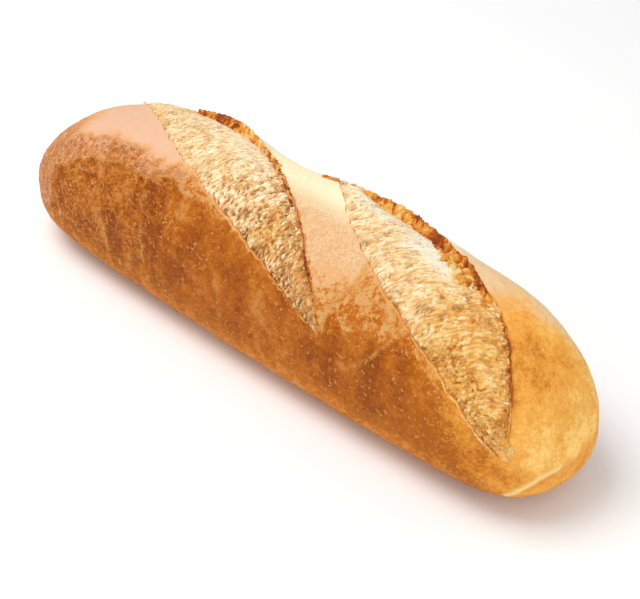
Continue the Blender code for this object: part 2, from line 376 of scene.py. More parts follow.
# Kinds of unevenness in the torn crumb: their breadth and their length along the fibres, and what
# share of the score's fibre length is added to it, then a seed, and octaves of detail.
CRUMB_KINDS = {
    "bundles": (0.0034, 0.0110, 0.0, 0.0, 2),
    "folds": (0.0019, 0.0, 1.6, 4.0, 1),
    "strands": (0.0009, 0.0, 1.0, 9.0, 2),
    "grains": (0.0008, 0.0012, 0.0, 15.0, 1),
    "holes": (0.0010, 0.0017, 0.0, 21.0, 2),
    "puffs": (0.0016, 0.0021, 0.0, 27.0, 2),
    "lumps": (0.0034, 0.0040, 0.0, 33.0, 2),
}
FIBRE_SEED = 7.0
FAN_ANGLE = 45.0
CRUMBLY = (2.4, 0.6)
HOLE_DEPTHS = (0.15, 0.50)

# What each kind adds to the crumb's height: everywhere, more in its low part, and more where it is
# lumpy. The holes take that much away, and the fibres fade by a share where the crumb is lumpy. The
# whole relief is lower, down to a share, where the score is narrow.
CRUMB_WEIGHTS = {
    "bundles": (0.22, 0.0, 0.0),
    "folds": (0.20, 0.0, 0.0),
    "strands": (0.14, 0.05, 0.0),
    "lumps": (0.12, 0.0, 0.42),
    "puffs": (0.0, 0.0, 0.36),
    "grains": (0.07, 0.05, 0.04),
    "holes": (0.16, 0.34, 0.30),
}
FADING_FIBRES = 0.85
LEAST_RELIEF = 0.3

# Shares of the way across a score: where the low part of the crumb ends, how far the crumb lies
# under the crust and the ear, where it swells beside the crust, and where its relief starts.
LOW_CRUMB = (0.60, 0.05)
UNDER_CRUST = 0.004
UNDER_EAR = 0.950
SWOLLEN = (0.0, 0.07)
RELIEF_START = (-0.01, 0.02)

# The fibres drift sideways and along, over lumps of a size.
CRUMB_DRIFT = 0.0010
DRIFT_SIZE = 0.0080
DRIFT_SEEDS = (3.0, 5.0)

# The torn ears: their columns and rows, where they start and end along the score and fade out at
# the edges of their rows, which run from the crumb, at 0, over the lip to the back, at 1. In metres,
# their thickness and cover, how far they hang over the lip, are tucked in at their edges, and fill
# up the loaf that lies lower under the crumb, which they do between two shares of the way across.
EAR_COLUMNS = 560
EAR_ROWS = 34
EAR_TIPS = (0.005, 0.990)
EAR_EDGES = ((0.0, 0.16), (1.0, 0.88))
EAR_THICKNESS = 0.0014
EAR_COVER = 0.0006
EAR_OVERHANG = 0.0005
EAR_TUCK_IN = 0.0005
EAR_FILL = 0.7 * CRUMB_COVER
EAR_FILL_SPAN = (0.30, 0.8)

# How far an ear's thick part comes and goes along the score, the breadth of its thin part, and how
# far both reach down the back. The second ear reaches further down before its middle.
THICK_START = (0.02, 0.03)
THICK_END = (0.10, 0.08)
THIN_BAND = 0.0008
EAR_BACK = (0.0003, 0.0011)
FAR_BACK = 0.0022
FAR_BACK_END = (0.42, 0.28)

# The thin part of an ear is broken by gaps of a size and a depth, but for the second ear's end.
EAR_GAP = 0.0007
BROKEN_EAR = (-0.2, 0.4)
BROKEN_SIZE = 0.0038
BROKEN_SEED = 5.0
CLOSED_EAR = (0.88, 0.93)

# An ear's pile of crags, its small knobs and its crumbs as shares of its big knobs, and how the
# knobs are bent out of round. The big knobs and the crumbs each give a share of its height, and only
# a share of that is left where the ear is thin.
PILE_POWER = 0.7
EAR_PILE = 0.00030
KNOB_RADIUS = 0.72
KNOB_SHUFFLE = 7.31
KNOB_SEEDS = {"big": 3.0, "small": 8.0, "crumbs": 51.0}
SMALL_KNOB_SHARE = 0.42
SMALL_KNOB_HEIGHT = 0.00016
CRUMB_KNOB_SHARE = 0.6
KNOB_MIDDLE = 0.6
KNOB_HEIGHTS = {"big": 0.8, "crumbs": 0.12}
THIN_EAR_SHARE = 0.30
KNOB_BEND = 0.0006
KNOB_BEND_SIZE = 0.0015
KNOB_BEND_SEEDS = (41.0, 43.0, 47.0)

# How much an ear's tone changes with its knobs' height, which paints shade between the knobs and a
# highlight on their tops, from knob to knob, and with its crumbs, whose height is painted the same
# way, and its unevenness.
KNOB_TONES_AND_SHADE = {"big": 0.34, "each_big": 0.52, "small": 0.10, "each_small": 0.24, "crumbs": 0.08}
UNEVEN_TONE = 0.36

# The second ear's torn chunk: its centre and spread along the score, and its breadth and height.
CHUNK = {"place": (0.655, 0.050), "breadth": 0.0040, "height": 0.0013}

# Loose crags: lines of places along X and angles, how many lie along each, how far they stray from
# it, their size, their height above the crust, the way they point, and their tone.
CRAG_LINES = (
    {"places": ((0.0015, -26.0), (0.0090, -26.5), (0.0150, -32.0), (0.0200, -40.0)),
     "count": 60, "spread": 0.0005, "size": 0.0016, "rise": 0.0003, "turn": 60.0, "tone": 0.56},
    {"places": ((0.0025, -29.0), (0.0100, -31.0), (0.0160, -38.0)),
     "count": 50, "spread": 0.0012, "size": 0.0016, "rise": 0.0001, "turn": 60.0, "tone": 0.56},
    {"places": ((-0.0388, 19.5), (-0.0352, 23.0)),
     "count": 9, "spread": 0.0004, "size": 0.0018, "rise": 0.0, "turn": 50.0, "tone": 0.62},
    {"places": ((0.1130, 62.0), (0.1140, 66.0), (0.1148, 68.0), (0.1140, 73.0)),
     "count": 9, "spread": 0.0004, "size": 0.0025, "rise": -0.0003, "turn": 30.0, "tone": 0.80},
    {"places": ((-0.0227, -16.5), (-0.0175, -13.5), (-0.0120, -9.0)),
     "count": 15, "spread": 0.0004, "size": 0.0016, "rise": 0.0, "turn": 40.0, "tone": 0.62},
    {"places": ((-0.0102, -7.2), (-0.0042, 0.2), (0.0027, 7.6), (0.0087, 16.0), (0.0152, 22.3),
                (0.0200, 28.7)),
     "count": 22, "spread": 0.0002, "size": 0.0014, "rise": 0.0, "turn": 30.0, "tone": 0.22},
    {"places": ((0.0242, 34.1), (0.0297, 42.5), (0.0335, 48.5)),
     "count": 8, "spread": 0.0003, "size": 0.0012, "rise": -0.0001, "turn": 30.0, "tone": 0.40},
    {"places": ((0.0610, -14.0), (0.0665, -6.0), (0.0720, -2.0), (0.0760, -1.0)),
     "count": 26, "spread": 0.0011, "size": 0.0019, "rise": 0.0010, "turn": 60.0, "tone": 0.78},
)

# How crags vary: how unevenly they lie, their breadth, length and height as shares, how far they
# turn, in radians, and how much their tone changes.
CRAGS = {"seed": 11, "shape_seed": 7.0, "uneven": 0.2, "breadth": (0.6, 1.3), "length": (1.0, 1.7),
         "height": (0.5, 0.8), "turn": 0.4, "tone": 0.14}

# Loose strands: their places along and across a score, their rise above the crumb in metres, how
# far they turn from the fibres, how their size varies, how much shorter they are where the crumb
# is lumpy, and their tone, which is lower where the crumb is toasted.
STRANDS = {"seed": 5, "shape_seed": 2.0, "along": (0.05, 0.96), "across": (0.03, 0.88),
           "rise": (-0.00020, 0.00015), "turn": 0.30, "stretch": (0.35, 1.0), "stretch_power": 1.5,
           "shorter": 0.6, "breadth": (0.6, 1.2), "height": (0.5, 1.0),
           "tone": 0.30, "tone_range": 0.35, "toasted": 0.25}

# A lump's unevenness, with lumps of a size as a share of its radius, and how far it is bent.
LUMP_UNEVEN = 0.45
LUMP_SIZE = 1.3
LUMP_BEND = 0.35

# The stage: half the floor's side, and each light's place and size in metres.
FLOOR_REACH = 4.0
KEY_LIGHT = {"place": (-0.32, -0.20, 0.88), "size": 0.6}
FILL_LIGHT = {"place": (0.85, -0.38, 0.42), "size": 0.8}

# The photograph's view: a turn about the loaf and a height above it in degrees, in a frame of
# 640 by 599 pixels, with the optical centre and the focal length in pixels.
VIEW_TURN = 43.8
VIEW_HEIGHT = 36.0
VIEW_DISTANCE = 0.5278
VIEW_AIM = Vector((0.0, 0.0, HEIGHT / 2.0))
IMAGE_SIZE = (640, 599)
FOCAL_PIXELS = 1495.7
CENTRE_PIXEL = (293.4, 258.3)
SENSOR_WIDTH = 36.0


# ---- numbers along and round the loaf ----


def smooth(low, high, value):
    """0 up to low, 1 from high, and an even S between them. It falls where low is above high."""
    t = np.clip((value - low) / (high - low), 0.0, 1.0)
    return t * t * (3.0 - 2.0 * t)


def part_of(amount, start, end, value):
    """An amount that comes in between two values."""
    return amount * smooth(start, end, value)


def hump(place, centre, spread):
    """1 at the centre, falling evenly away on both sides."""
    return np.exp(-(((place - centre) / spread) ** 2))


def wobble(place, size, seed):
    """A smooth random line from -1 to 1, with bends of the given size."""
    cell = np.floor(place / size)
    t = place / size - cell
    t = t * t * (3.0 - 2.0 * t)

    def chance(number):
        return 2.0 * np.mod(np.abs(np.sin(number * 127.1 + seed * 311.7)) * 43758.5453, 1.0) - 1.0

    first = chance(cell)
    return first + (chance(cell + 1.0) - first) * t


def tears(x, kinds, seed):
    """Unevenness of a torn edge: wobbles of some height and size, added up."""
    return sum(height * wobble(x, size, seed + own_seed) for height, size, own_seed in kinds)


def course(share, kind):
    """How a patch comes and goes over shares of a way: even, on a slope, or in a hump."""
    if kind is None:
        return 1.0
    name, first, second = kind
    return hump(share, first, second) if name == "hump" else smooth(first, second, share)


def patchwork(kinds, u, v):
    """Patches of a score's crumb added up, at shares of the way along it and across it."""
    return sum(amount * course(u, along) * course(v, across) for amount, along, across in kinds)


def creased(uneven, rise=2.2, drop=0.5):
    """Turns unevenness into round lumps with sharp creases between them."""
    return rise * np.abs(uneven) - drop


def rough(places, size, seed, octaves):
    """Random unevenness from about -1 to 1 at many places, with lumps of the given size."""
    scaled = places / np.asarray(size) + seed
    return np.array([noise.fractal(place, FINER_SHARE, FINER_STEP, octaves) for place in scaled])


def knobs(places, size, seed):
    """Round random knobs: their height from 0 to 1, and a number from 0 to 1 for each knob."""
    heights = np.empty(len(places))
    tones = np.empty(len(places))
    for i, place in enumerate(places / size + seed):
        distances, centres = noise.voronoi(place)
        heights[i] = math.sqrt(max(0.0, 1.0 - (distances[0] / KNOB_RADIUS) ** 2))
        tones[i] = noise.cell(centres[0] * KNOB_SHUFFLE) * 0.5 + 0.5
    return heights, tones


def end_profile(x, name):
    """Share of the full width or height that is left at x, from 1 at the middle to 0 at a tip."""
    t = np.clip(np.abs(x) / (LENGTH / 2.0), 0.0, 1.0)
    left = (1.0 - t ** LEFT_END[name][0]) ** (1.0 / LEFT_END[name][1])
    right = (1.0 - t ** RIGHT_END[name][0]) ** (1.0 / RIGHT_END[name][1])
    return np.where(x < 0.0, left, right)


def belly_profile(x):
    """Depth under the widest line at x, as a share of the widest line's height."""
    power = np.where(x < 0.0, LEFT_END["belly"], RIGHT_END["belly"])
    plan = (end_profile(x, "near") + end_profile(x, "far")) / 2.0
    return BELLY_OVERSHOOT * plan ** power


def body(x, angle):
    """Point on the plain loaf, before its scores."""
    turn = np.radians(angle)
    across = -np.sin(turn)
    up = np.cos(turn)
    power = np.where(up >= 0.0, CROWN_POWER, BELLY_POWER)
    reach = (np.abs(across) ** power + np.abs(up) ** power) ** (-1.0 / power)
    crown = (HEIGHT - WIDEST_HEIGHT) * end_profile(x, "crown")
    belly = WIDEST_HEIGHT * belly_profile(x)
    plan = np.where(across < 0.0, end_profile(x, "near"), end_profile(x, "far"))
    y = WIDTH / 2.0 * plan * across * reach + TIP_BEND * (2.0 * x / LENGTH) ** 2
    z = WIDEST_HEIGHT + np.where(up >= 0.0, crown, belly) * up * reach
    return np.stack([np.broadcast_to(x, y.shape), y, z], axis=-1)


def unit(vectors):
    """Vectors of the same directions, one long."""
    return vectors / np.linalg.norm(vectors, axis=-1, keepdims=True)


def body_frame(x, angle):
    """Outward normal, direction of rising angle, and metres of girth for each degree."""
    step_x = 1e-4
    step_angle = 0.05
    along = body(x + step_x, angle) - body(x - step_x, angle)
    around = body(x, angle + step_angle) - body(x, angle - step_angle)
    girth_per_degree = np.linalg.norm(around, axis=-1) / (2.0 * step_angle)
    return unit(np.cross(around, along)), unit(around), girth_per_degree


def bow(u, amount, rise, fall):
    """A hump along u from 0 to 1, as high as amount, with its powers at each end."""
    peak = rise / (rise + fall)
    top = peak ** rise * (1.0 - peak) ** fall
    inside = np.clip(u, 0.0, 1.0)
    return amount * inside ** rise * (1.0 - inside) ** fall / top


def along_score(score, x):
    """0 at the score's far tip, 1 at its near tip."""
    far_x = score["far_tip"][0]
    return (x - far_x) / (score["near_tip"][0] - far_x)


def score_place(score, u):
    """Place along X at a share of the score's length."""
    return score["far_tip"][0] + (score["near_tip"][0] - score["far_tip"][0]) * u


def score_edges(score, x):
    """Angles of the score's near edge and of its ear at x, with their small tears."""
    u = along_score(score, x)
    far_angle = score["far_tip"][1]
    middle = far_angle + (score["near_tip"][1] - far_angle) * np.clip(u, 0.0, 1.0)
    wave = np.sin(2.0 * math.pi * np.clip(u, 0.0, 1.0))
    torn = smooth(0.0, TEARS_FADE, u) * smooth(0.0, TEARS_FADE, 1.0 - u)
    seed = score["lip_place"]
    near = middle + bow(u, *score["near_bow"]) + score["near_wave"] * wave + EDGE_PADDING
    ear = middle - bow(u, *score["ear_bow"]) + score["ear_wave"] * wave - EDGE_PADDING
    return near + tears(x, NEAR_TEARS, seed) * torn, ear + tears(x, EAR_TEARS, seed) * torn


def slant_cosine(score, side, x, girth_per_degree):
    """Cosine of the slope at which an edge crosses the loaf, to turn girth into distance."""
    step = 2e-3
    change = score_edges(score, x + step)[side] - score_edges(score, x - step)[side]
    slope = change / (2.0 * step) * girth_per_degree
    return 1.0 / np.sqrt(1.0 + slope ** 2)


def edge_distance(score, side, x, degrees, girth_per_degree):
    """Distance from one edge of a score, for the degrees that a place lies beyond it."""
    girth = np.maximum(degrees, 0.0) * girth_per_degree
    return girth * slant_cosine(score, side, x, girth_per_degree)


def score_relief(score, x, angle, girth_per_degree):
    """What one score gives the surface: rise, lean, the share across it and the edge distances."""
    u = along_score(score, x)
    near, ear = score_edges(score, x)
    v = (near - angle) / (near - ear)
    fade = smooth(0.0, TIP_FADE, u) * smooth(0.0, TIP_FADE, 1.0 - u)
    opening = np.clip((near - ear) / FULL_OPENING, 0.0, 1.0) ** OPENING_POWER
    lip = LEAST_LIP + score["lip_height"] * hump(u, score["lip_place"], LIP_SPREAD)

    pillow = 1.0 - (2.0 * np.clip(v / VALLEY_PLACE, 0.0, 1.0) - 1.0) ** 2
    step_down = CRUST_STEP * (1.0 - smooth(0.0, CRUST_STEP_PLACE, v))
    sink = score["sink"] * hump(u, score["sink_place"], SINK_SPREAD)
    sink = sink * smooth(VALLEY_START, VALLEY_PLACE, v)
    crumb = (CRUMB_BULGE * pillow - sink) * opening - step_down
    wall_share = np.clip((v - VALLEY_PLACE) / (1.0 - VALLEY_PLACE), 0.0, 1.0)
    cover = CRUMB_COVER * smooth(0.0, COVER_START, v) * smooth(COVER_END, 0.0, wall_share)
    inside = crumb - cover + (lip - crumb) * wall_share

    before = edge_distance(score, NEAR_SIDE, x, angle - near, girth_per_degree)
    beyond = edge_distance(score, EAR_SIDE, x, ear - angle, girth_per_degree)
    rim = CRUST_RIM * hump(before, 0.0, RIM_REACH)
    ear_back = lip * hump(beyond, 0.0, EAR_REACH)
    rise = np.where(v <= ON_THE_EDGE, rim, np.where(v >= 1.0, ear_back, inside))
    back_lean = hump(2.0 * beyond, 0.0, EAR_REACH)
    lean = EAR_LEAN * np.where(v >= 1.0, back_lean, wall_share ** 2)
    lean = lean * fade * np.clip(lip / score["lip_height"], 0.0, 1.0)
    open_here = (u > 0.0) & (u < 1.0)
    return {"rise": rise * fade, "crumb": crumb * fade, "lean": lean, "v": v, "fade": fade,
            "before": before, "beyond": beyond, "opening": opening, "open": open_here}


def dips(x, angle):
    """How far the loaf has sunk behind its ears."""
    depth = np.zeros_like(angle)
    for dip in DIPS:
        across_dip = (x - dip["centre"][0]) / dip["spread"][0]
        around_dip = (angle - dip["centre"][1]) / dip["spread"][1]
        depth = depth - dip["depth"] * np.exp(-(across_dip ** 2) - around_dip ** 2)
    return depth


def fold_marks(points, normal):
    """How near each point is to a pale fold of the crust, and how dark the folds make it, partly browning and
    partly painted shade.
    """
    pale = np.zeros(len(points))
    dark = np.zeros(len(points))
    bent = points.copy()
    bent[:, 0] += FOLD_WANDER * rough(points, *UNEVEN["fold"])
    for fold in FOLDS:
        corners = [body(np.array(x), np.array(angle)) for x, angle in fold["line"]]
        nearest = np.full(len(points), 1.0)
        side = np.zeros(len(points))
        for start, end in zip(corners, corners[1:]):
            run = end - start
            share = np.clip((bent - start) @ run / (run @ run), 0.0, 1.0)
            away = bent - start - share[:, None] * run
            distance = np.linalg.norm(away, axis=1)
            closer = distance < nearest
            nearest = np.where(closer, distance, nearest)
            side = np.where(closer, np.einsum("ij,ij->i", np.cross(run, away), normal), side)
        pale = np.maximum(pale, fold["pale"] * hump(nearest, 0.0, fold["breadth"]))
        share = nearest / fold["reach"]
        shade = fold["dark"] * np.exp(-share) * (1.0 - smooth(*FOLD_SHADE_END, share))
        dark = np.maximum(dark, np.where(side < 0.0, shade, 0.0))
    return pale, dark


# ---- the loaf's grid ----


def station_places():
    """Places of the rings along X, closer together towards the ends."""
    t = np.linspace(-1.0, 1.0, STATIONS + 1)[1:-1]
    bunch = (t - np.sign(t) * np.abs(t) ** STATION_POWER) / (STATION_POWER - 1.0)
    return LENGTH / 2.0 * (t + STATION_CLOSENESS * bunch)


def base_half_angle(x):
    """Half the angle of the flat base, worked out from where the section meets the ground."""
    spare = max(float(belly_profile(x)) ** BELLY_POWER - 1.0, 0.0)
    return max(math.degrees(math.atan(spare ** (1.0 / BELLY_POWER))), LEAST_BASE_ANGLE)


def score_shares():
    """Shares of the way across a score: its floor, and its wall up to the ear."""
    wall = np.linspace(VALLEY_PLACE, 1.0, WALL_ROWS + 1)[:-1]
    return np.concatenate([[0.0], FLOOR_SHARES, wall])


def crust_shares(count, after_score, before_score):
    """Shares of the way across a stretch of crust, closer together beside a score."""
    t = np.arange(count) / count
    if after_score and before_score:
        return t - ROW_BUNCHING * np.sin(2.0 * math.pi * t) / (2.0 * math.pi)
    if after_score:
        return t ** ROW_POWER
    if before_score:
        return 1.0 - (1.0 - t) ** ROW_POWER
    return t


def ring_rows(x):
    """One ring's stretches from the base's near edge over the top: their names and angles."""
    open_scores = tuple(i for i, score in enumerate(SCORES) if 0.0 < along_score(score, x) < 1.0)
    base = base_half_angle(x)
    counts = CRUST_ROWS[open_scores]
    stretches = []
    start = 180.0 - base
    name = "near base"
    for i, count in zip(open_scores, counts):
        near, ear = score_edges(SCORES[i], x)
        shares = crust_shares(count, name != "near base", True)
        stretches.append((name, start + (near - start) * shares))
        stretches.append((f"score {i}", near + (ear - near) * score_shares()))
        start = ear
        name = f"ear {i}"
    end = base - 180.0
    shares = crust_shares(counts[-1], name != "near base", False)
    stretches.append((name, start + (end - start) * shares))
    stretches.append(("far base", end - 2.0 * base * np.arange(BASE_ROWS) / BASE_ROWS))
    return stretches


def number_ring(x, first_index):
    """A ring's point numbers, its angles closed by a full turn, and where each stretch starts."""
    stretches = ring_rows(x)
    angles = np.concatenate([rows for _, rows in stretches])
    sizes = np.cumsum([0] + [len(rows) for _, rows in stretches])
    starts = {name: int(size) for (name, _), size in zip(stretches, sizes)}
    numbers = list(range(first_index, first_index + len(angles)))
    return {"x": x, "numbers": numbers, "angles": np.append(angles, angles[0] - 360.0), "starts": starts}


def span(ring, start, end):
    """Point numbers from one stretch's start to another's, and how far along each of them is."""
    last = ring["starts"][end] if end else len(ring["numbers"])
    numbers = (ring["numbers"] + ring["numbers"][:1])[ring["starts"][start]:last + 1]
    angles = ring["angles"][ring["starts"][start]:last + 1]
    return numbers, (angles[0] - angles) / (angles[0] - angles[-1])


def join_spans(first, second):
    """Faces between two rows of points: four-sided where they match, else to the nearer point."""
    (first, first_shares), (second, second_shares) = first, second
    if len(first) == len(second):
        return list(zip(first, first[1:], second[1:], second))
    faces = []
    i = 0
    j = 0
    while i < len(first) - 1 or j < len(second) - 1:
        if j == len(second) - 1 or (i < len(first) - 1 and first_shares[i + 1] <= second_shares[j + 1]):
            faces.append((first[i], first[i + 1], second[j]))
            i += 1
        else:
            faces.append((first[i], second[j + 1], second[j]))
            j += 1
    return faces


def loaf_grid():
    """Rings of the whole loaf and its faces."""
    rings = []
    count = 0
    for x in station_places():
        rings.append(number_ring(x, count))
        count += len(rings[-1]["numbers"])
    faces = []
    for first, second in zip(rings, rings[1:]):
        shared = [name for name in first["starts"] if name in second["starts"]]
        for start, end in zip(shared, shared[1:] + [None]):
            faces += join_spans(span(first, start, end), span(second, start, end))
    for ring, tip in ((rings[0], count), (rings[-1], count + 1)):
        numbers = ring["numbers"]
        for here, there in zip(numbers, numbers[1:] + numbers[:1]):
            faces.append((tip, there, here) if tip == count else (tip, here, there))
    return rings, faces


# ---- the loaf's surface ----


def loaf_form(x, angle):
    """The loaf's form before its fine relief: its parts at each place, and each score's."""
    normal, around, girth_per_degree = body_frame(x, angle)
    reliefs = [score_relief(score, x, angle, girth_per_degree) for score in SCORES]
    return {"plain": body(x, angle), "normal": normal, "around": around,
            "rise": dips(x, angle) + sum(r["rise"] for r in reliefs),
            "lean": sum(r["lean"] for r in reliefs), "scores": reliefs}


def form_points(form, extra):
    """Points of a form, raised by an extra height."""
    rise = form["rise"] + extra
    return form["plain"] + form["normal"] * rise[:, None] + form["around"] * form["lean"][:, None]


def browning_borders(x, angle):
    """Angles at which light and dark brown start at x, and how soft the borders are."""
    places, *columns = (np.array(column) for column in zip(*BORDERS))
    light, dark, soft = (np.interp(x, places, column) for column in columns)
    near_edge, _ = score_edges(SCORES[0], x)
    under = smooth(-UNDER_SCORE["edge"], UNDER_SCORE["edge"], angle - near_edge)
    under = under * smooth(*UNDER_SCORE["start"], x) * (along_score(SCORES[0], x) < 1.0)
    light = light + (np.minimum(light, near_edge - UNDER_SCORE["light_above"]) - light) * under
    dark = dark + (UNDER_SCORE["dark"] - dark) * under
    return light, dark, soft * (1.0 - UNDER_SCORE["sharper"] * under)


def browning(x, angle, plain):
    """How dark the crust has baked, from 0, pale, over 0.5, light brown, to 1, and its dark border."""
    large = rough(plain, *UNEVEN["large"])
    small = rough(plain, *UNEVEN["small"])
    light, dark, soft = browning_borders(x, angle)
    ragged = (LIGHT_RAGGED[0] * large + LIGHT_RAGGED[1] * small) * (1.0 + part_of(*MORE_RAGGED, x))
    fading = soft + part_of(*MORE_SOFT, x)
    first = smooth(light - fading, light + fading, angle + ragged)
    ragged = DARK_RAGGED[0] * rough(plain, *UNEVEN["middle"]) + DARK_RAGGED[1] * small
    second = smooth(dark - soft, dark + soft, angle + ragged)
    # Low on the near side the crust is less browned: partly paler crust, partly painted light against the
    # shade there.
    near = (0.5 * first + 0.5 * second) * (1.0 - part_of(*PALER_LOW_AND_PAINTED_LIGHT, angle))

    top = smooth(*LEFT_TIP_TOP, angle)
    bent = x + TIP_WANDER["height"] * wobble(angle, TIP_WANDER["size"], TIP_WANDER["seed"])
    bent = bent + (TIP_RAGGED[0] + TIP_RAGGED[1] * top) * small
    start, end = LEFT_TIP_BORDER
    tip = 1.0 - smooth(start - TOP_SOFTNESS * top, end + TOP_SOFTNESS * top, bent)
    near = near + (LEFT_TIP_BROWNING * smooth(*LEFT_TIP_ANGLES, angle + ragged) - near) * tip
    very_end = smooth(*LEFT_TIP_END, x + TIP_RAGGED[2] * small)
    near = np.maximum(near, LEFT_TIP_BROWNING * very_end)

    patch = hump(x, *RIGHT_PATCH["along"]) * hump(angle, *RIGHT_PATCH["around"])
    far = smooth(*FAR_ANGLES, -angle + FAR_RAGGED * large) * (1.0 - part_of(*FAR_PALER, x))
    far = far * (1.0 - (1.0 - LEFT_TIP_BROWNING) * tip)
    near = np.maximum(near, RIGHT_PATCH["browning"] * patch)
    return np.maximum(near, far), second * (1.0 - tip)


def golden_share(x, angle, plain):
    """How golden the crust is: the right end, and the near side towards it."""
    ragged = rough(plain, *UNEVEN["golden"])
    border = np.interp(x, *(np.array(column) for column in zip(*GOLDEN_BORDER)))
    under = smooth(*GOLDEN_SOFTNESS, angle - border + GOLDEN_RAGGED[1] * ragged)
    end = smooth(*GOLDEN_START, x + GOLDEN_RAGGED[0] * ragged) * under
    return np.maximum(end, smooth(*GOLDEN_TIP, x))


def pink_share(x, angle):
    """How pink the pale crust is: rosy at the left end and beside the scores, cream on top."""
    middle = smooth(*PINK_ANGLES, angle) * smooth(*PINK_MIDDLE_END, x)
    return np.clip(smooth(*PINK_LEFT, x) + middle + part_of(*PINK_RIGHT, x), 0.0, 1.0)


def edge_marks(form):
    """Where there is crust and not crumb, and how near it is to a score's rim and to its torn lip."""
    crust = np.ones_like(form["rise"])
    rim = np.zeros_like(crust)
    lip = np.zeros_like(crust)
    for relief in form["scores"]:
        v = relief["v"]
        before = relief["open"] & (v <= ON_THE_EDGE)
        inside = relief["open"] & (v > ON_THE_EDGE) & (v < 1.0)
        beyond = relief["open"] & (v >= 1.0)
        crust[inside] = 0.0
        rim += np.where(before, hump(relief["before"], 0.0, BRIGHT_RIM) * relief["fade"], 0.0)
        rim += np.where(inside & (v < 0.5), 1.0, 0.0)
        lip += np.where(beyond, hump(relief["beyond"], 0.0, BRIGHT_RIM) * relief["fade"], 0.0)
        lip += np.where(inside & (v >= 0.5), relief["fade"], 0.0)
    return crust, rim, lip


def crust_relief(x, angle, plain, baked, darker):
    """Height of the crust's blisters, curls and ledge, and the marks of them for its finish."""
    grain = rough(plain, *UNEVEN["grain"])
    curl = 0.5 - 2.0 * np.abs(rough(plain, *UNEVEN["curl"]))
    craggy = smooth(*CRAGGY_BROWNING, baked) * smooth(*CRAGGY_END, x)
    craggy = craggy * (1.0 - part_of(*CRAGGY_LOW, angle))
    border = hump(darker, *LEDGE_AT)
    ledge = border - part_of(*LEDGE_FALL, darker)
    rise = grain * (BLISTER_RISE + BROWNED_BLISTER_RISE * baked + CRAGGY_BLISTER_RISE * craggy)
    rise = rise + craggy * (CURL_RISE * curl + LEDGE_RISE * ledge)
    rise = rise + SWELL_RISE * rough(plain, *UNEVEN["swell"])
    return rise, {"grain": grain, "curl": craggy * curl,
                  "ledge": border * smooth(*LEDGE_END, x) * smooth(*LEDGE_ANGLES, angle)}


def edge_crag(x, angle):
    """Height of the small crag of crust at the first score's near edge."""
    place_x, place_angle = EDGE_CRAG["place"]
    away = np.hypot(x - place_x, (angle - place_angle) * METRES_PER_DEGREE)
    return EDGE_CRAG["height"] * hump(away, 0.0, EDGE_CRAG["breadth"])


def build_loaf():
    """The whole loaf as one closed mesh, with its marks stored for its finish."""
    rings, faces = loaf_grid()
    x = np.concatenate([np.full(len(ring["numbers"]), ring["x"]) for ring in rings])
    angle = np.concatenate([ring["angles"][:-1] for ring in rings])
    form = loaf_form(x, angle)
    plain = form["plain"]
    angle = np.where(angle < -180.0, angle + 360.0, angle)
    baked, darker = browning(x, angle, plain)
    pale, dark = fold_marks(plain, form["normal"])
    # Beside the folds the crust is darker: partly browned, partly painted shade.
    baked = baked + FOLD_SHADE_AND_BROWNING * dark * (1.0 - 0.5 * baked)
    crust, rim, lip = edge_marks(form)
    relief, relief_marks = crust_relief(x, angle, plain, baked, darker)
    relief = (relief + FOLD_RISE * (np.minimum(pale, 1.0) - dark)) * crust + edge_crag(x, angle)
    points = form_points(form, relief)
    points[:, 2] = np.maximum(points[:, 2], 0.0)
    marks = {
        "browning": baked,
        # The right end's tip and far side, painted lighter against their shade.
        "light": np.maximum(part_of(*PAINTED_LIGHT_TIP, x), smooth(*PAINTED_LIGHT_ANGLES, -angle)),
        "golden": golden_share(x, angle, plain),
        "pink": pink_share(x, angle),
        "rosy": smooth(*ROSY_END, x),
        # Low sides, painted lighter against the shade that falls on them.
        "low": smooth(*PAINTED_LIGHT_LOW_ANGLES, np.abs(angle)),
        "fold": pale,
        "dark_fold": dark,
        "rim": rim,
        "lip": lip,
        "base": 1.0 - smooth(*BASE_REACH, points[:, 2]),
        **relief_marks,
    }
    tips = [(side * LENGTH / 2.0, TIP_BEND, WIDEST_HEIGHT) for side in (-1.0, 1.0)]
    points = np.concatenate([points, tips])
    marks = {name: np.append(values, TIP_MARKS.get(name, (0.0, 0.0))) for name, values in marks.items()}
    return finished_mesh("baked_loaf", points, faces, marks)


def finished_mesh(name, points, faces, marks):
    """A closed mesh with smooth shading up to sharp edges, and a number of each kind per point."""
    data = bpy.data.meshes.new(name)
    data.from_pydata(np.asarray(points).tolist(), [], faces)
    for mark, values in marks.items():
        kind = "FLOAT" if np.ndim(values) == 1 else "FLOAT_VECTOR"
        values = np.asarray(values, dtype=np.float32)
        data.attributes.new(mark, kind, "POINT").data.foreach_set(
            "value" if kind == "FLOAT" else "vector", values.ravel())
    mesh = bmesh.new()
    mesh.from_mesh(data)
    bmesh.ops.recalc_face_normals(mesh, faces=mesh.faces)
    mesh.to_mesh(data)
    mesh.free()
    data.shade_smooth()
    data.set_sharp_from_angle(angle=math.radians(SHARP_ANGLE))
    return data


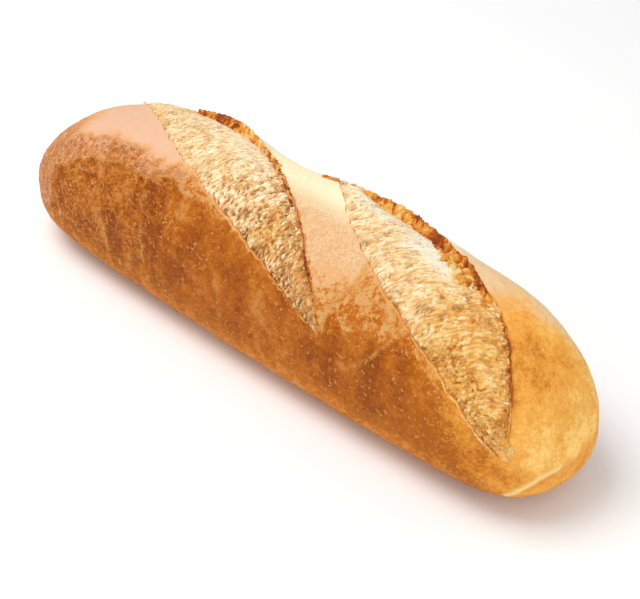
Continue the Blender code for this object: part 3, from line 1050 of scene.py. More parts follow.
def sheet_mesh(name, top, bottom, marks):
    """A closed sheet between two grids of points, with the marks of its top."""
    columns, rows = top.shape[:2]
    grid = np.arange(columns * rows).reshape(columns, rows)
    quads = np.stack([grid[:-1, :-1], grid[1:, :-1], grid[1:, 1:], grid[:-1, 1:]], axis=-1).reshape(-1, 4)
    border = np.concatenate([grid[:, 0], grid[-1, 1:], grid[-2::-1, -1], grid[0, -2:0:-1]])
    following = np.roll(border, -1)
    under = columns * rows
    rim = np.stack([border, following, following + under, border + under], axis=-1)
    faces = np.concatenate([quads, quads[:, ::-1] + under, rim]).tolist()
    points = np.concatenate([top.reshape(-1, 3), bottom.reshape(-1, 3)])
    doubled = {mark: np.concatenate([values, values]) for mark, values in marks.items()}
    return finished_mesh(name, points, faces, doubled)


# ---- torn crumb ----


def fibre_turn(score, x):
    """How far the fibres at x are turned from the way round the loaf, and how fast that changes."""
    first, last = (math.radians(turn) for turn in score["fibre_turns"])
    rate = (last - first) / (score["near_tip"][0] - score["far_tip"][0])
    return first + rate * (x - score["far_tip"][0]), rate


def fibre_places(score, x, angle):
    """Distances across and along the crumb's fibres, which fan out along the score."""
    turn, rate = fibre_turn(score, x)
    reach = 1.0 / rate + (angle - FAN_ANGLE) * METRES_PER_DEGREE
    return np.stack([np.sin(turn) * reach, -np.cos(turn) * reach, np.zeros_like(reach)], axis=-1)


def crumb_height(score, place, u, v):
    """Height of the torn crumb from about -1 to 1: fibres far up, then lumps, and holes low down."""
    uneven = {}
    for name, (breadth, length, fibre_share, seed, octaves) in CRUMB_KINDS.items():
        size = (breadth, length + fibre_share * score["fibre_length"], 1.0)
        uneven[name] = rough(place, size, FIBRE_SEED * score["lip_place"] + seed, octaves)
    folds = creased(uneven["folds"])
    strands = -creased(uneven["strands"])
    puffs = creased(uneven["puffs"], *CRUMBLY)
    grains = creased(uneven["grains"])
    holes = smooth(*HOLE_DEPTHS, uneven["holes"])
    low = smooth(*LOW_CRUMB, v)
    lumpy = smooth(*score["lumpy"], u)
    weight = {name: always + if_low * low + if_lumpy * lumpy
              for name, (always, if_low, if_lumpy) in CRUMB_WEIGHTS.items()}
    fibrous = weight["bundles"] * uneven["bundles"] + weight["folds"] * folds
    fibrous = fibrous + weight["strands"] * strands
    lumps = weight["lumps"] * uneven["lumps"] + weight["puffs"] * puffs
    pits = score["pitted"] * holes * weight["holes"]
    return (1.0 - FADING_FIBRES * lumpy) * fibrous + lumps + weight["grains"] * grains - pits


def crumb_form(number, u, v):
    """The bare crumb at shares of a score's length and breadth: its x, its angle and its form."""
    score = SCORES[number]
    x = score_place(score, u)
    near, ear = score_edges(score, x)
    angle = near + (ear - near) * v
    form = loaf_form(x, angle)
    relief = form["scores"][number]
    form["rise"] = form["rise"] - relief["rise"] + relief["crumb"]
    form["lean"] = np.zeros_like(x)
    return x, angle, form


def build_crumb(number):
    """The torn crumb of one score, laid on the loaf from under its crust's edge to its ear."""
    score = SCORES[number]
    u = np.repeat(np.linspace(*CRUMB_TIPS, CRUMB_COLUMNS), CRUMB_ROWS)
    v = np.tile(np.linspace(*CRUMB_SPAN, CRUMB_ROWS), CRUMB_COLUMNS)
    x, angle, form = crumb_form(number, u, v)
    fade = form["scores"][number]["fade"]
    place = fibre_places(score, x, angle)
    drift = [rough(place, DRIFT_SIZE, seed, 1) for seed in DRIFT_SEEDS]
    place[:, :2] += CRUMB_DRIFT * np.stack(drift, axis=-1)
    height = crumb_height(score, place, u, v) * patchwork(score["coarse"], u, v)
    opening = LEAST_RELIEF + (1.0 - LEAST_RELIEF) * form["scores"][number]["opening"]
    under_crust = smooth(CRUMB_SPAN[0], UNDER_CRUST, v)
    under_ear = smooth(UNDER_EAR, CRUMB_SPAN[1], v)
    tucked = NEAR_TUCK * (1.0 - under_crust) + EAR_TUCK * under_ear
    swollen = CRUMB_SWELL * (1.0 - smooth(*SWOLLEN, v)) * under_crust * fade
    relief = CRUMB_RISE * height * opening * smooth(*RELIEF_START, v)
    relief = relief + swollen - tucked - TIP_TUCK * (1.0 - fade)
    top = form_points(form, relief).reshape(CRUMB_COLUMNS, CRUMB_ROWS, 3)
    bottom = form_points(form, -CRUMB_THICKNESS - tucked).reshape(CRUMB_COLUMNS, CRUMB_ROWS, 3)
    marks = {"height": height, "fibre_place": place, "toasted": patchwork(score["toasted"], u, v),
             "white": patchwork(score["white"], u, v)}
    return sheet_mesh(f"torn_crumb_{number + 1}", top, bottom, marks)


# ---- torn ears ----


def ear_band(score, u):
    """Share of a thick ear at u, and how far its crags reach down from the lip."""
    start, end = score["thick_ear"]
    thick = smooth(start - THICK_START[0], start + THICK_START[1], u)
    thick = thick * smooth(end + THICK_END[1], end - THICK_END[0], u)
    return thick, THIN_BAND + (score["band"] - THIN_BAND) * thick


def ear_angle(score, x, down):
    """Angle of a place that lies some way down from the lip, towards the crumb."""
    _, ear = score_edges(score, x)
    _, _, girth_per_degree = body_frame(x, ear)
    return ear + down / (girth_per_degree * slant_cosine(score, EAR_SIDE, x, girth_per_degree))


def ear_tone(number, u, s, thick, chunk):
    """How the ear's tone, from 0, scorched, to 1, pale, changes along it and from crumb to back."""
    crumb_side = smooth(0.35, 0.0, s)
    back_side = smooth(0.45, 0.90, s)
    tone = 0.44 - 0.22 * back_side + 0.22 * crumb_side * thick + 0.02 * (1.0 - thick)
    if number == 0:
        scorched_start = thick * smooth(0.42, 0.28, u)
        pale_middle = hump(u, 0.47, 0.05)
        return tone - 0.30 * scorched_start + 0.20 * pale_middle
    pale_start = smooth(0.45, 0.35, u)
    scorched_middle = hump(u, 0.505, 0.030)
    # A painted shadow on the second ear's chunk, at its end towards the near tip.
    chunk_shadow = hump(u, 0.74, 0.05) * smooth(0.298, 0.304, chunk)
    tone = tone + 0.04 + 0.16 * pale_start - 0.36 * scorched_middle - 0.30 * chunk_shadow
    return tone + (0.54 * (1.0 - s) - 0.16 * back_side) * chunk


def ear_knobs(number, places, thick):
    """Knobs and crumbs of a torn ear: their height in metres, and how they change its tone, with painted
    shade where they are low and a painted highlight on their tops.
    """
    score = SCORES[number]
    size = score["knob_size"]
    bend = np.stack([rough(places, KNOB_BEND_SIZE, seed, 1) for seed in KNOB_BEND_SEEDS], axis=-1)
    bent = places + KNOB_BEND * bend
    big, each_big = knobs(bent, size, KNOB_SEEDS["big"] + number)
    small, each_small = knobs(bent, size * SMALL_KNOB_SHARE, KNOB_SEEDS["small"] + number)
    crumbs = rough(places, size * CRUMB_KNOB_SHARE, KNOB_SEEDS["crumbs"] + number, 2)
    crumbs = creased(crumbs, *CRUMBLY)
    height = KNOB_HEIGHTS["big"] * (big - KNOB_MIDDLE) + KNOB_HEIGHTS["crumbs"] * crumbs
    height = score["knob_height"] * height * (THIN_EAR_SHARE + (1.0 - THIN_EAR_SHARE) * thick)
    # Painted shade between the knobs and a painted highlight on their tops, as the tone follows their height.
    tone = KNOB_TONES_AND_SHADE["big"] * (big - 0.5) + KNOB_TONES_AND_SHADE["each_big"] * (each_big - 0.5)
    tone = tone + KNOB_TONES_AND_SHADE["small"] * small + KNOB_TONES_AND_SHADE["each_small"] * (each_small - 0.5)
    return height + SMALL_KNOB_HEIGHT * (small - KNOB_MIDDLE), tone + KNOB_TONES_AND_SHADE["crumbs"] * crumbs


def ear_gaps(number, x, u, thick):
    """How deep the gaps are that break the thin part of an ear, from 0 to 1."""
    broken = smooth(*BROKEN_EAR, wobble(x, BROKEN_SIZE, BROKEN_SEED + number))
    return (1.0 - thick) * (1.0 - broken) * (1.0 - number * smooth(*CLOSED_EAR, u))


def build_ear(number):
    """The knobbly torn side of one ear, from the crumb over the lip."""
    score = SCORES[number]
    start = max(score["thick_ear"][0] - THICK_START[0], EAR_TIPS[0])
    u = np.repeat(np.linspace(start, EAR_TIPS[1], EAR_COLUMNS), EAR_ROWS)
    s = np.tile(np.linspace(0.0, 1.0, EAR_ROWS), EAR_COLUMNS)
    x = score_place(score, u)
    thick, band = ear_band(score, u)
    chunk = hump(u, *CHUNK["place"]) * number
    band = band * (1.0 + tears(x, BAND_TEARS, number)) + CHUNK["breadth"] * chunk
    back = EAR_BACK[0] + (EAR_BACK[1] - EAR_BACK[0]) * thick
    back = back + number * FAR_BACK * smooth(*FAR_BACK_END, u)
    form = loaf_form(x, ear_angle(score, x, band * (1.0 - s) - back * s))
    v = form["scores"][number]["v"]
    form["rise"] = form["rise"] + np.where(v < 1.0, EAR_FILL * smooth(*EAR_FILL_SPAN, v), 0.0)
    edge = smooth(*EAR_EDGES[0], s) * smooth(*EAR_EDGES[1], s)
    form["lean"] = form["lean"] + EAR_OVERHANG * edge

    uneven = rough(form["plain"], *UNEVEN["ear"])
    pile = np.sin(np.pi * s) ** PILE_POWER * (CHUNK["height"] * chunk + EAR_PILE * uneven * thick)
    height, knob_tone = ear_knobs(number, form_points(form, pile), thick)
    relief = (pile + height + EAR_COVER) * edge - EAR_TUCK_IN * (1.0 - edge)
    relief = relief - EAR_GAP * ear_gaps(number, x, u, thick)
    top = form_points(form, relief).reshape(EAR_COLUMNS, EAR_ROWS, 3)
    bottom = form_points(form, np.full_like(x, -EAR_THICKNESS)).reshape(EAR_COLUMNS, EAR_ROWS, 3)
    tone = ear_tone(number, u, s, thick, chunk) + knob_tone + UNEVEN_TONE * uneven
    return sheet_mesh(f"torn_ear_{number + 1}", top, bottom, {"tone": tone})


# ---- crags and strands ----


def lumps_on(form, rise, turn, sizes, tones):
    """Lumps on a form: their points, normals and headings, turned from the way round the loaf."""
    along = unit(np.cross(form["normal"], form["around"]))
    headings = unit(along * np.sin(turn)[:, None] + form["around"] * np.cos(turn)[:, None])
    return form_points(form, rise), form["normal"], headings, sizes, tones


def lump_mesh(name, parts, seed):
    """Small irregular lumps, each laid on the surface along its heading, as one mesh."""
    points, normals, headings, sizes, tones = (np.concatenate(part) for part in zip(*parts))
    ball = bmesh.new()
    bmesh.ops.create_icosphere(ball, subdivisions=2, radius=1.0)
    shape = np.array([vertex.co[:] for vertex in ball.verts])
    ball_faces = np.array([[vertex.index for vertex in face.verts] for face in ball.faces])
    ball.free()
    all_points = []
    all_faces = []
    for i, (point, normal, heading, size) in enumerate(zip(points, normals, headings, sizes)):
        side = np.cross(normal, heading)
        uneven = rough(shape, LUMP_SIZE, seed + 5.0 * i, 2)
        lump = shape * (1.0 + LUMP_UNEVEN * uneven[:, None])
        bend = LUMP_BEND * math.sin(seed + 3.0 * i) * lump[:, 0] ** 2
        local = lump * size
        local[:, 1] += bend * size[0] * 0.5
        all_points.append(point + local[:, :1] * heading + local[:, 1:2] * side + local[:, 2:] * normal)
        all_faces.append(ball_faces + i * len(shape))
    marks = {"tone": np.repeat(tones, len(shape))}
    return finished_mesh(name, np.concatenate(all_points), np.concatenate(all_faces).tolist(), marks)


def build_crags():
    """Loose crags beside the ears, at the first score's edge and round the second's near tip."""
    chance = np.random.RandomState(CRAGS["seed"])
    parts = []
    for line in CRAG_LINES:
        count = line["count"]
        places = np.array(line["places"])
        corners = np.linspace(0.0, 1.0, len(places))
        share = (np.arange(count) + 0.5) / count
        share = share + CRAGS["uneven"] * (chance.uniform(0.0, 1.0, count) - 0.5) / count
        x = np.interp(share, corners, places[:, 0]) + line["spread"] * chance.normal(0.0, 1.0, count)
        angle = np.interp(share, corners, places[:, 1])
        angle = angle + line["spread"] / METRES_PER_DEGREE * chance.normal(0.0, 1.0, count)
        breadth = line["size"] * chance.uniform(*CRAGS["breadth"], count)
        length = breadth * chance.uniform(*CRAGS["length"], count)
        height = breadth * chance.uniform(*CRAGS["height"], count)
        turn = math.radians(line["turn"]) + chance.normal(0.0, CRAGS["turn"], count)
        tones = line["tone"] + CRAGS["tone"] * chance.normal(0.0, 1.0, count)
        sizes = np.stack([length, breadth, height], axis=-1) / 2.0
        parts.append(lumps_on(loaf_form(x, angle), line["rise"], turn, sizes, tones))
    return lump_mesh("torn_crags", parts, CRAGS["shape_seed"])


def build_strands(count, length, breadth):
    """Loose strands of crumb, torn up across both scores."""
    chance = np.random.RandomState(STRANDS["seed"])
    parts = []
    for number, score in enumerate(SCORES):
        u = chance.uniform(*STRANDS["along"], count)
        v = chance.uniform(*STRANDS["across"], count)
        x, _, form = crumb_form(number, u, v)
        rise = chance.uniform(*STRANDS["rise"], count)
        turn = fibre_turn(score, x)[0] + chance.normal(0.0, STRANDS["turn"], count)
        stretch = chance.uniform(*STRANDS["stretch"], count) ** STRANDS["stretch_power"]
        stretch = stretch * (1.0 - STRANDS["shorter"] * smooth(*score["lumpy"], u))
        widths = breadth * chance.uniform(*STRANDS["breadth"], count)
        heights = breadth * chance.uniform(*STRANDS["height"], count)
        sizes = np.stack([length * stretch, widths, heights], axis=-1) / 2.0
        tones = STRANDS["tone"] + STRANDS["tone_range"] * chance.uniform(0.0, 1.0, count)
        tones = tones - STRANDS["toasted"] * patchwork(score["toasted"], u, v)
        parts.append(lumps_on(form, rise, turn, sizes, tones))
    return lump_mesh("crumb_strands", parts, STRANDS["shape_seed"])


# ---- materials ----

# The middle range of Blender's noise, which patchy noise spreads over 0 to 1.
NOISE_RANGE = (0.34, 0.66)


class Wire:
    """One output of a shader node, used in sums and products like a number."""

    def __init__(self, finish, socket):
        self.finish = finish
        self.socket = socket

    def maths(self, operation, *values):
        """Adds a Math node for an operation on values."""
        return self.finish.node("ShaderNodeMath", {"operation": operation}, dict(enumerate(values)))

    def __add__(self, other):
        return self.maths("ADD", self, other)

    __radd__ = __add__

    def __sub__(self, other):
        return self.maths("SUBTRACT", self, other)

    def __rsub__(self, other):
        return self.maths("SUBTRACT", other, self)

    def __mul__(self, other):
        return self.maths("MULTIPLY", self, other)

    __rmul__ = __mul__

    def __abs__(self):
        return self.maths("ABSOLUTE", self)


class Finish:
    """A material in the making: its nodes, its shader, and the ways to add to them."""

    def __init__(self, name, **constants):
        self.material = bpy.data.materials.new(name)
        self.material.use_nodes = True
        self.tree = self.material.node_tree
        self.shader = self.tree.nodes["Principled BSDF"]
        for socket, value in constants.items():
            self.shader.inputs[socket.replace("_", " ")].default_value = value

    def put(self, value, socket):
        """Gives a socket a value, or joins a wire to it."""
        if isinstance(value, Wire):
            self.tree.links.new(value.socket, socket)
        else:
            socket.default_value = value

    def node(self, kind, settings=None, values=None, output=0):
        """Adds a node with its settings, then its socket values or links. Returns one output."""
        node = self.tree.nodes.new(kind)
        for name, setting in (settings or {}).items():
            if name == "stops":
                self.set_stops(node.color_ramp, setting)
            else:
                setattr(node, name, setting)
        for name, value in (values or {}).items():
            self.put(value, node.inputs[name])
        return Wire(self, node.outputs[output])

    @staticmethod
    def set_stops(ramp, stops):
        """Sets a ramp's stops, each a place and a colour."""
        while len(ramp.elements) < len(stops):
            ramp.elements.new(1.0)
        for element, (place, colour) in zip(ramp.elements, stops):
            element.position = place
            element.color = (*colour, 1.0)

    def mark(self, name, output="Fac"):
        """What the mesh stores under a name."""
        return self.node("ShaderNodeAttribute", {"attribute_name": name}, output=output)

    def lumps(self, size, detail, sharpness, seed, where=None):
        """Soft random noise from 0 to 1, with lumps of the given size in metres."""
        values = {"Vector": where or self.place(), "Scale": 1.0 / size, "Detail": detail,
                  "Roughness": sharpness, "W": seed}
        return self.node("ShaderNodeTexNoise", {"noise_dimensions": "4D"}, values)

    def patchy(self, *settings):
        """The same noise with its contrast raised, so that it fills the range from 0 to 1."""
        return self.between(self.lumps(*settings), *NOISE_RANGE)

    def place(self):
        """Places on the piece, in metres."""
        return self.node("ShaderNodeTexCoord", output="Object")

    def stretched(self, place, scale):
        """Places scaled along each axis, so that what they carry is stretched."""
        return self.node("ShaderNodeMapping", {}, {"Vector": place, "Scale": scale})

    def between(self, value, low, high):
        """0 where a value is below low, 1 above high, and an S between them."""
        settings = {"interpolation_type": "SMOOTHSTEP"}
        return self.node("ShaderNodeMapRange", settings, {"Value": value, "From Min": low, "From Max": high})

    def mix(self, share, first, second):
        """A blend of two colours."""
        first, second = (c if isinstance(c, Wire) else (*c, 1.0) for c in (first, second))
        return self.node("ShaderNodeMix", {"data_type": "RGBA"}, {0: share, 6: first, 7: second}, output=2)

    def ramp(self, value, stops):
        """A value turned into a colour between stops."""
        return self.node("ShaderNodeValToRGB", {"stops": stops}, {"Fac": value})

    def done(self, colour, roughness, height, depth):
        """Joins the colour, the roughness and the fine relief to the shader."""
        bump = self.node("ShaderNodeBump", {}, {"Height": height, "Distance": depth, "Strength": 1.0})
        self.put(colour, self.shader.inputs["Base Color"])
        self.put(roughness, self.shader.inputs["Roughness"])
        self.put(bump, self.shader.inputs["Normal"])
        return self.material


def linear(colour):
    """Scene values of a colour picked on screen, with its parts from 0 to 255."""
    return tuple(((c / 255.0 + 0.055) / 1.055) ** 2.4 if c > 10 else c / 3294.6 for c in colour)


class CrustNoise:
    """The crust's unevenness, from large patches to fine grain, each from 0 to 1."""

    def __init__(self, finish):
        self.patches = finish.patchy(0.013, 3.0, 0.55, 1.0)
        self.clouds = finish.patchy(0.0042, 4.0, 0.60, 2.0)
        self.blots = finish.patchy(0.0016, 3.0, 0.60, 3.0)
        self.fine = finish.patchy(0.0007, 2.0, 0.60, 4.0)
        self.bands = finish.patchy(0.010, 2.0, 0.5, 10.0, finish.stretched(finish.place(), (1.0, 0.35, 0.35)))


def pale_crust(finish, look, uneven, rosy):
    """Pale crust: cream on top, flecked peach between the scores, and pink at the left end."""
    flecks = finish.between(uneven.fine * 0.75 + uneven.blots * 0.25, 0.10, 0.90)
    peach = finish.mix(flecks, look.peach_top, look.peach_light)
    return finish.mix(finish.mark("pink"), look.cream_crust, finish.mix(rosy, peach, look.pink_crust))


def brown_crust(finish, look, uneven, rosy, browned, darkened):
    """Browned crust, from light brown, leathery at the left end, to mottled dark brown."""
    curl = finish.mark("curl")
    kinds = (uneven.patches, uneven.clouds, uneven.blots, uneven.fine)
    patches, clouds, blots, fine = (kind - 0.5 for kind in kinds)
    lively = 0.07 + 0.05 * browned + 0.11 * browned * rosy
    smooth_side = browned * (1.0 - rosy)
    # Beside the folds the crust is darker, partly browned and partly painted shade.
    tone = (browned * 0.30 + darkened * 0.26 + finish.mark("dark_fold") * 0.28 * darkened
            + patches * (0.05 + 0.18 * darkened + smooth_side * 0.06) + (uneven.bands - 0.5) * 0.24 * darkened
            + clouds * (lively + 0.06 * darkened + smooth_side * 0.02) + blots * lively
            + fine * lively - finish.mark("grain") * lively - curl * 0.16)
    # At the left end the colour follows the crust's fine bumps: a painted highlight on their ridges and
    # painted shade in their creases.
    leathery = 0.5 + clouds * 0.48 + blots * 0.56 + fine * 0.44 - curl * 0.4
    rosy_stops = [(0.15, look.rosy_dark), (0.50, look.rosy_crust), (0.85, look.rosy_light)]
    rosy_brown = finish.ramp(leathery, rosy_stops)
    light_brown = finish.mix(rosy * (1.0 - 0.85 * darkened), look.golden_crust, rosy_brown)
    light_brown = finish.mix(darkened * 0.6, light_brown, look.brown_crust)
    brown_stops = [(0.36, look.brown_crust), (0.58, look.deep_crust), (0.86, look.dark_crust)]
    brown = finish.ramp(tone, brown_stops)
    return finish.mix(finish.between(tone - rosy * 0.08, 0.18, 0.44), light_brown, brown)


def golden_crust(finish, look, uneven, baked):
    """Golden crust of the right end, darker where it is browned, and painted lighter at its tip and on its
    far side against the shade there.
    """
    # The mark light paints the tip and the far side lighter, against their shade.
    gilded = (baked * 0.62 + 0.38 + (uneven.patches - 0.5) * 0.20 + (uneven.clouds - 0.5) * 0.19
              + (uneven.blots - 0.5) * 0.15 + (uneven.fine - 0.5) * 0.17
              - finish.mark("grain") * 0.09 - finish.mark("light") * 0.25)
    stops = [(0.04, look.gold_light), (0.30, look.gold_pale), (0.52, look.gold_middle),
             (0.76, look.gold_dark), (0.96, look.gold_brown)]
    return finish.ramp(gilded, stops)


def crust_finish(look):
    """Baked crust: pale on top, mottled golden brown on its sides, with blisters and folds."""
    finish = Finish("baked_crust", IOR=1.45, Specular_IOR_Level=0.11)
    uneven = CrustNoise(finish)
    clouds = uneven.clouds
    blots = uneven.blots
    fine = uneven.fine
    baked = finish.mark("browning")
    rosy = finish.mark("rosy")
    golden = finish.mark("golden")
    ragged = baked + (clouds - 0.5) * 0.12 + (blots - 0.5) * (0.15 - 0.07 * rosy) + (fine - 0.5) * 0.06
    browned = finish.between(ragged, 0.02, 0.52)
    darkened = finish.between(ragged, 0.54, 0.86)

    colour = pale_crust(finish, look, uneven, rosy)
    colour = finish.mix(finish.between(browned, 0.0, 0.50), colour, look.peach_crust)
    brown = brown_crust(finish, look, uneven, rosy, browned, darkened)
    colour = finish.mix(finish.between(browned, 0.22, 1.0), colour, brown)
    # Painted light: low on the sides the crust is mixed lighter against the shade there.
    colour = finish.mix(finish.mark("low") * browned * 0.30, colour, look.painted_light_low_crust)
    colour = finish.mix(golden, colour, golden_crust(finish, look, uneven, baked))

    stretched = finish.stretched(finish.place(), (0.6, 1.0, 1.0))
    winding = abs(finish.lumps(0.0030, 2.0, 0.5, 6.0, stretched) - 0.5)
    curls = finish.between(winding, 0.030, 0.008)
    curls = curls * finish.between(clouds + uneven.patches * 0.5, 0.40, 0.80)
    curls = curls * browned * (0.15 + 0.85 * rosy)
    spots = finish.between(finish.lumps(0.0012, 1.0, 0.5, 7.0), 0.58, 0.69)
    spots = spots * finish.between(clouds + uneven.patches * 0.4, 0.35, 0.95)
    # A painted highlight along the ledge at the top of the left end's dark browning.
    ledge = finish.mark("ledge") * finish.between(blots * 0.5 + clouds * 0.5, 0.15, 0.50)
    colour = finish.mix(spots * (0.08 + 0.50 * browned) + curls * 0.48 + ledge * 0.60, colour, look.speck)

    fold = finish.mark("fold") * finish.between(blots + fine * 0.6 + golden * 0.6, 0.30, 0.90)
    fold_colour = finish.mix(rosy * 0.4, finish.mix(golden, look.fold, look.base_fold), look.peach_crust)
    colour = finish.mix(fold * 0.75, colour, fold_colour)
    rim = finish.between(finish.mark("rim") + (blots - 0.5) * 0.8, 0.45, 0.95) * (0.25 + 0.75 * browned)
    colour = finish.mix(rim * (0.45 + 0.35 * clouds), colour, finish.mix(golden, look.rim, look.base_fold))
    lip = finish.between(finish.mark("lip") + (clouds - 0.5) * 1.0, 0.40, 0.80)
    colour = finish.mix(lip * 0.6, colour, look.lip)
    colour = finish.mix(finish.mark("base") * 0.5, colour, look.base)

    height = (clouds * 0.30 + blots * (0.20 + 0.45 * baked) + fine * (0.14 + 0.22 * baked)
              + curls * 0.5 + spots * 0.2 + ledge * 0.4 + fold * 0.5 - darkened * 0.25)
    roughness = 0.70 - 0.14 * baked + 0.12 * (blots - 0.5)
    return finish.done(colour, roughness, height, 0.00042)


def crumb_finish(look):
    """Torn crumb: cream ridges over golden hollows, with toasted strokes and white parts. Its colour follows
    its height, as painted shade in the hollows and a painted highlight on the highest fibres.
    """
    finish = Finish("torn_crumb", IOR=1.4, Specular_IOR_Level=0.1)
    place = finish.mark("fibre_place", "Vector")
    white = finish.mark("white")
    fibres = finish.patchy(0.0006, 2.0, 0.6, 5.0, finish.stretched(place, (1.0, 0.35, 1.0)))
    strokes = finish.patchy(0.0007, 1.0, 0.5, 9.0, finish.stretched(place, (1.0, 0.20, 1.0)))
    grains = finish.patchy(0.0007, 2.0, 0.6, 6.0, place)
    patches = finish.patchy(0.0040, 3.0, 0.6, 7.0, place)
    blotches = finish.patchy(0.0020, 2.0, 0.6, 3.0, place)
    # The level follows the crumb's height: painted shade in the hollows, a painted highlight on the highest
    # fibres.
    level = (0.545 + finish.mark("height") * 0.58 + (fibres - 0.5) * 0.10 + (grains - 0.5) * 0.09
             + (patches - 0.5) * 0.32 + white * 0.30)
    toasted = finish.mark("toasted") * (0.45 + 0.55 * patches + 0.55 * blotches) + (patches - 0.5) * 0.34
    cream_stops = [(0.02, look.shaded_hollow_crumb), (0.22, look.shaded_crumb), (0.42, look.golden_crumb),
                   (0.62, look.cream_crumb), (0.90, look.white_crumb)]
    toast_stops = [(0.05, look.shaded_toast), (0.42, look.toasted_crumb), (0.95, look.toasted_top)]
    cream = finish.ramp(level, cream_stops)
    toast = finish.ramp(level, toast_stops)
    colour = finish.mix(finish.between(toasted, 0.15, 0.95), cream, toast)
    floury = finish.between(white + (blotches - 0.5) * 0.3, 0.06, 0.66)
    colour = finish.mix(floury * 0.72, colour, look.floury_crumb)
    # Painted shade: darker, greyer crumb where the white patches fall far below 0, at the first score's low
    # end.
    colour = finish.mix(finish.between(0.0 - white, 0.70, 1.90) * 0.40, colour, look.painted_shade_crumb)
    stroke = finish.between(strokes + (patches - 0.5) * 0.3 - white * 0.35, 0.80, 0.96)
    colour = finish.mix(stroke * 0.80, colour, look.stroke)
    rosy = finish.between(patches + (blotches - 0.5) * 0.5, 0.40, 1.0)
    colour = finish.mix(rosy * 0.18, colour, look.rosy_crumb)
    return finish.done(colour, 0.85, fibres * 0.5 + grains * 0.35 - stroke * 0.3, 0.0003)


def torn_finish(name, look, fine_size):
    """Scorched torn edges: golden to dark brown from knob to knob. On the ears the tone follows the knobs'
    height, as painted shade between them and a painted highlight on their tops.
    """
    finish = Finish(name, IOR=1.45, Specular_IOR_Level=0.15)
    fine = finish.patchy(fine_size, 2.0, 0.6, 8.0)
    tone = finish.mark("tone") + (fine - 0.5) * 0.22
    stops = [(0.05, look.darkest_ear), (0.30, look.dark_ear), (0.52, look.middle_ear),
             (0.78, look.golden_ear), (1.0, look.pale_ear)]
    return finish.done(finish.ramp(tone, stops), 0.6, fine, 0.0003)


def strand_finish(look):
    """Loose strands: from golden to nearly white."""
    finish = Finish("crumb_strand", IOR=1.4, Specular_IOR_Level=0.2)
    fine = finish.patchy(0.0005, 2.0, 0.6, 4.0)
    tone = finish.mark("tone") + (fine - 0.5) * 0.3
    stops = [(0.05, look.stroke), (0.35, look.golden_crumb), (0.60, look.cream_crumb),
             (0.95, look.white_crumb)]
    return finish.done(finish.ramp(tone, stops), 0.85, fine, 0.0002)


# ---- settings ----


def screen_colour(name, description, red, green, blue):
    """A colour setting whose default is given as it looks on screen."""
    return FloatVectorProperty(name=name, description=description, subtype="COLOR", size=3,
                               min=0.0, max=1.0, default=linear((red, green, blue)))


class BAGUETTE_PG_crust(bpy.types.PropertyGroup):
    """Colours of the baked crust."""

    cream_crust: screen_colour("Cream crust", "Top of the loaf between the scores", 254, 236, 196)
    peach_top: screen_colour("Peach top", "Pale crust between the scores", 216, 168, 120)
    peach_light: screen_colour("Light peach", "Flecks of the pale crust", 232, 192, 144)
    pink_crust: screen_colour("Pink crust", "Pale crust at the left end", 227, 183, 152)
    peach_crust: screen_colour("Peach crust", "Where the browning starts", 232, 174, 120)
    golden_crust: screen_colour("Golden crust", "Lightly baked crust", 218, 163, 100)
    # At the left end: a painted highlight on the ridges and painted shade in the creases of the crust.
    rosy_light: screen_colour("Light rosy crust", "Ridges of the crust at the left end", 238, 186, 150)
    rosy_crust: screen_colour("Rosy crust", "Lightly baked crust at the left end", 214, 148, 108)
    rosy_dark: screen_colour("Dark rosy crust", "Creases of the crust at the left end", 166, 98, 56)
    brown_crust: screen_colour("Brown crust", "Most of the sides", 200, 116, 34)
    deep_crust: screen_colour("Deep crust", "Well baked patches", 180, 96, 22)
    dark_crust: screen_colour("Dark crust", "Darkest patches", 150, 72, 14)
    # Painted light: a light brown mixed in low on the sides, against their shade.
    painted_light_low_crust: screen_colour("Low crust", "Crust low on the sides", 240, 150, 40)
    # The right end's tip and far side are painted lighter towards this gold, against their shade.
    gold_light: screen_colour("Light gold", "Lightest part of the right end", 255, 207, 120)
    gold_pale: screen_colour("Pale gold", "Rim of the right end", 243, 177, 82)
    gold_middle: screen_colour("Gold", "Right end of the loaf", 236, 162, 68)
    gold_dark: screen_colour("Dark gold", "Darkest part of the right end", 214, 133, 42)
    gold_brown: screen_colour("Golden brown", "Near side towards the right end", 182, 100, 24)
    # Also the colour of the painted highlight along the ledge at the left end.
    speck: screen_colour("Specks", "Small pale blisters", 232, 166, 92)
    fold: screen_colour("Folds", "Pale lines of the folds", 236, 164, 80)
    base_fold: screen_colour("Base fold", "Pale line over the base at the right end", 252, 214, 140)
    rim: screen_colour("Rim", "Crisp edges of the scores", 242, 172, 84)
    lip: screen_colour("Lip", "Torn edge of the ears", 186, 106, 44)
    base: screen_colour("Base", "Underside of the loaf", 224, 160, 84)


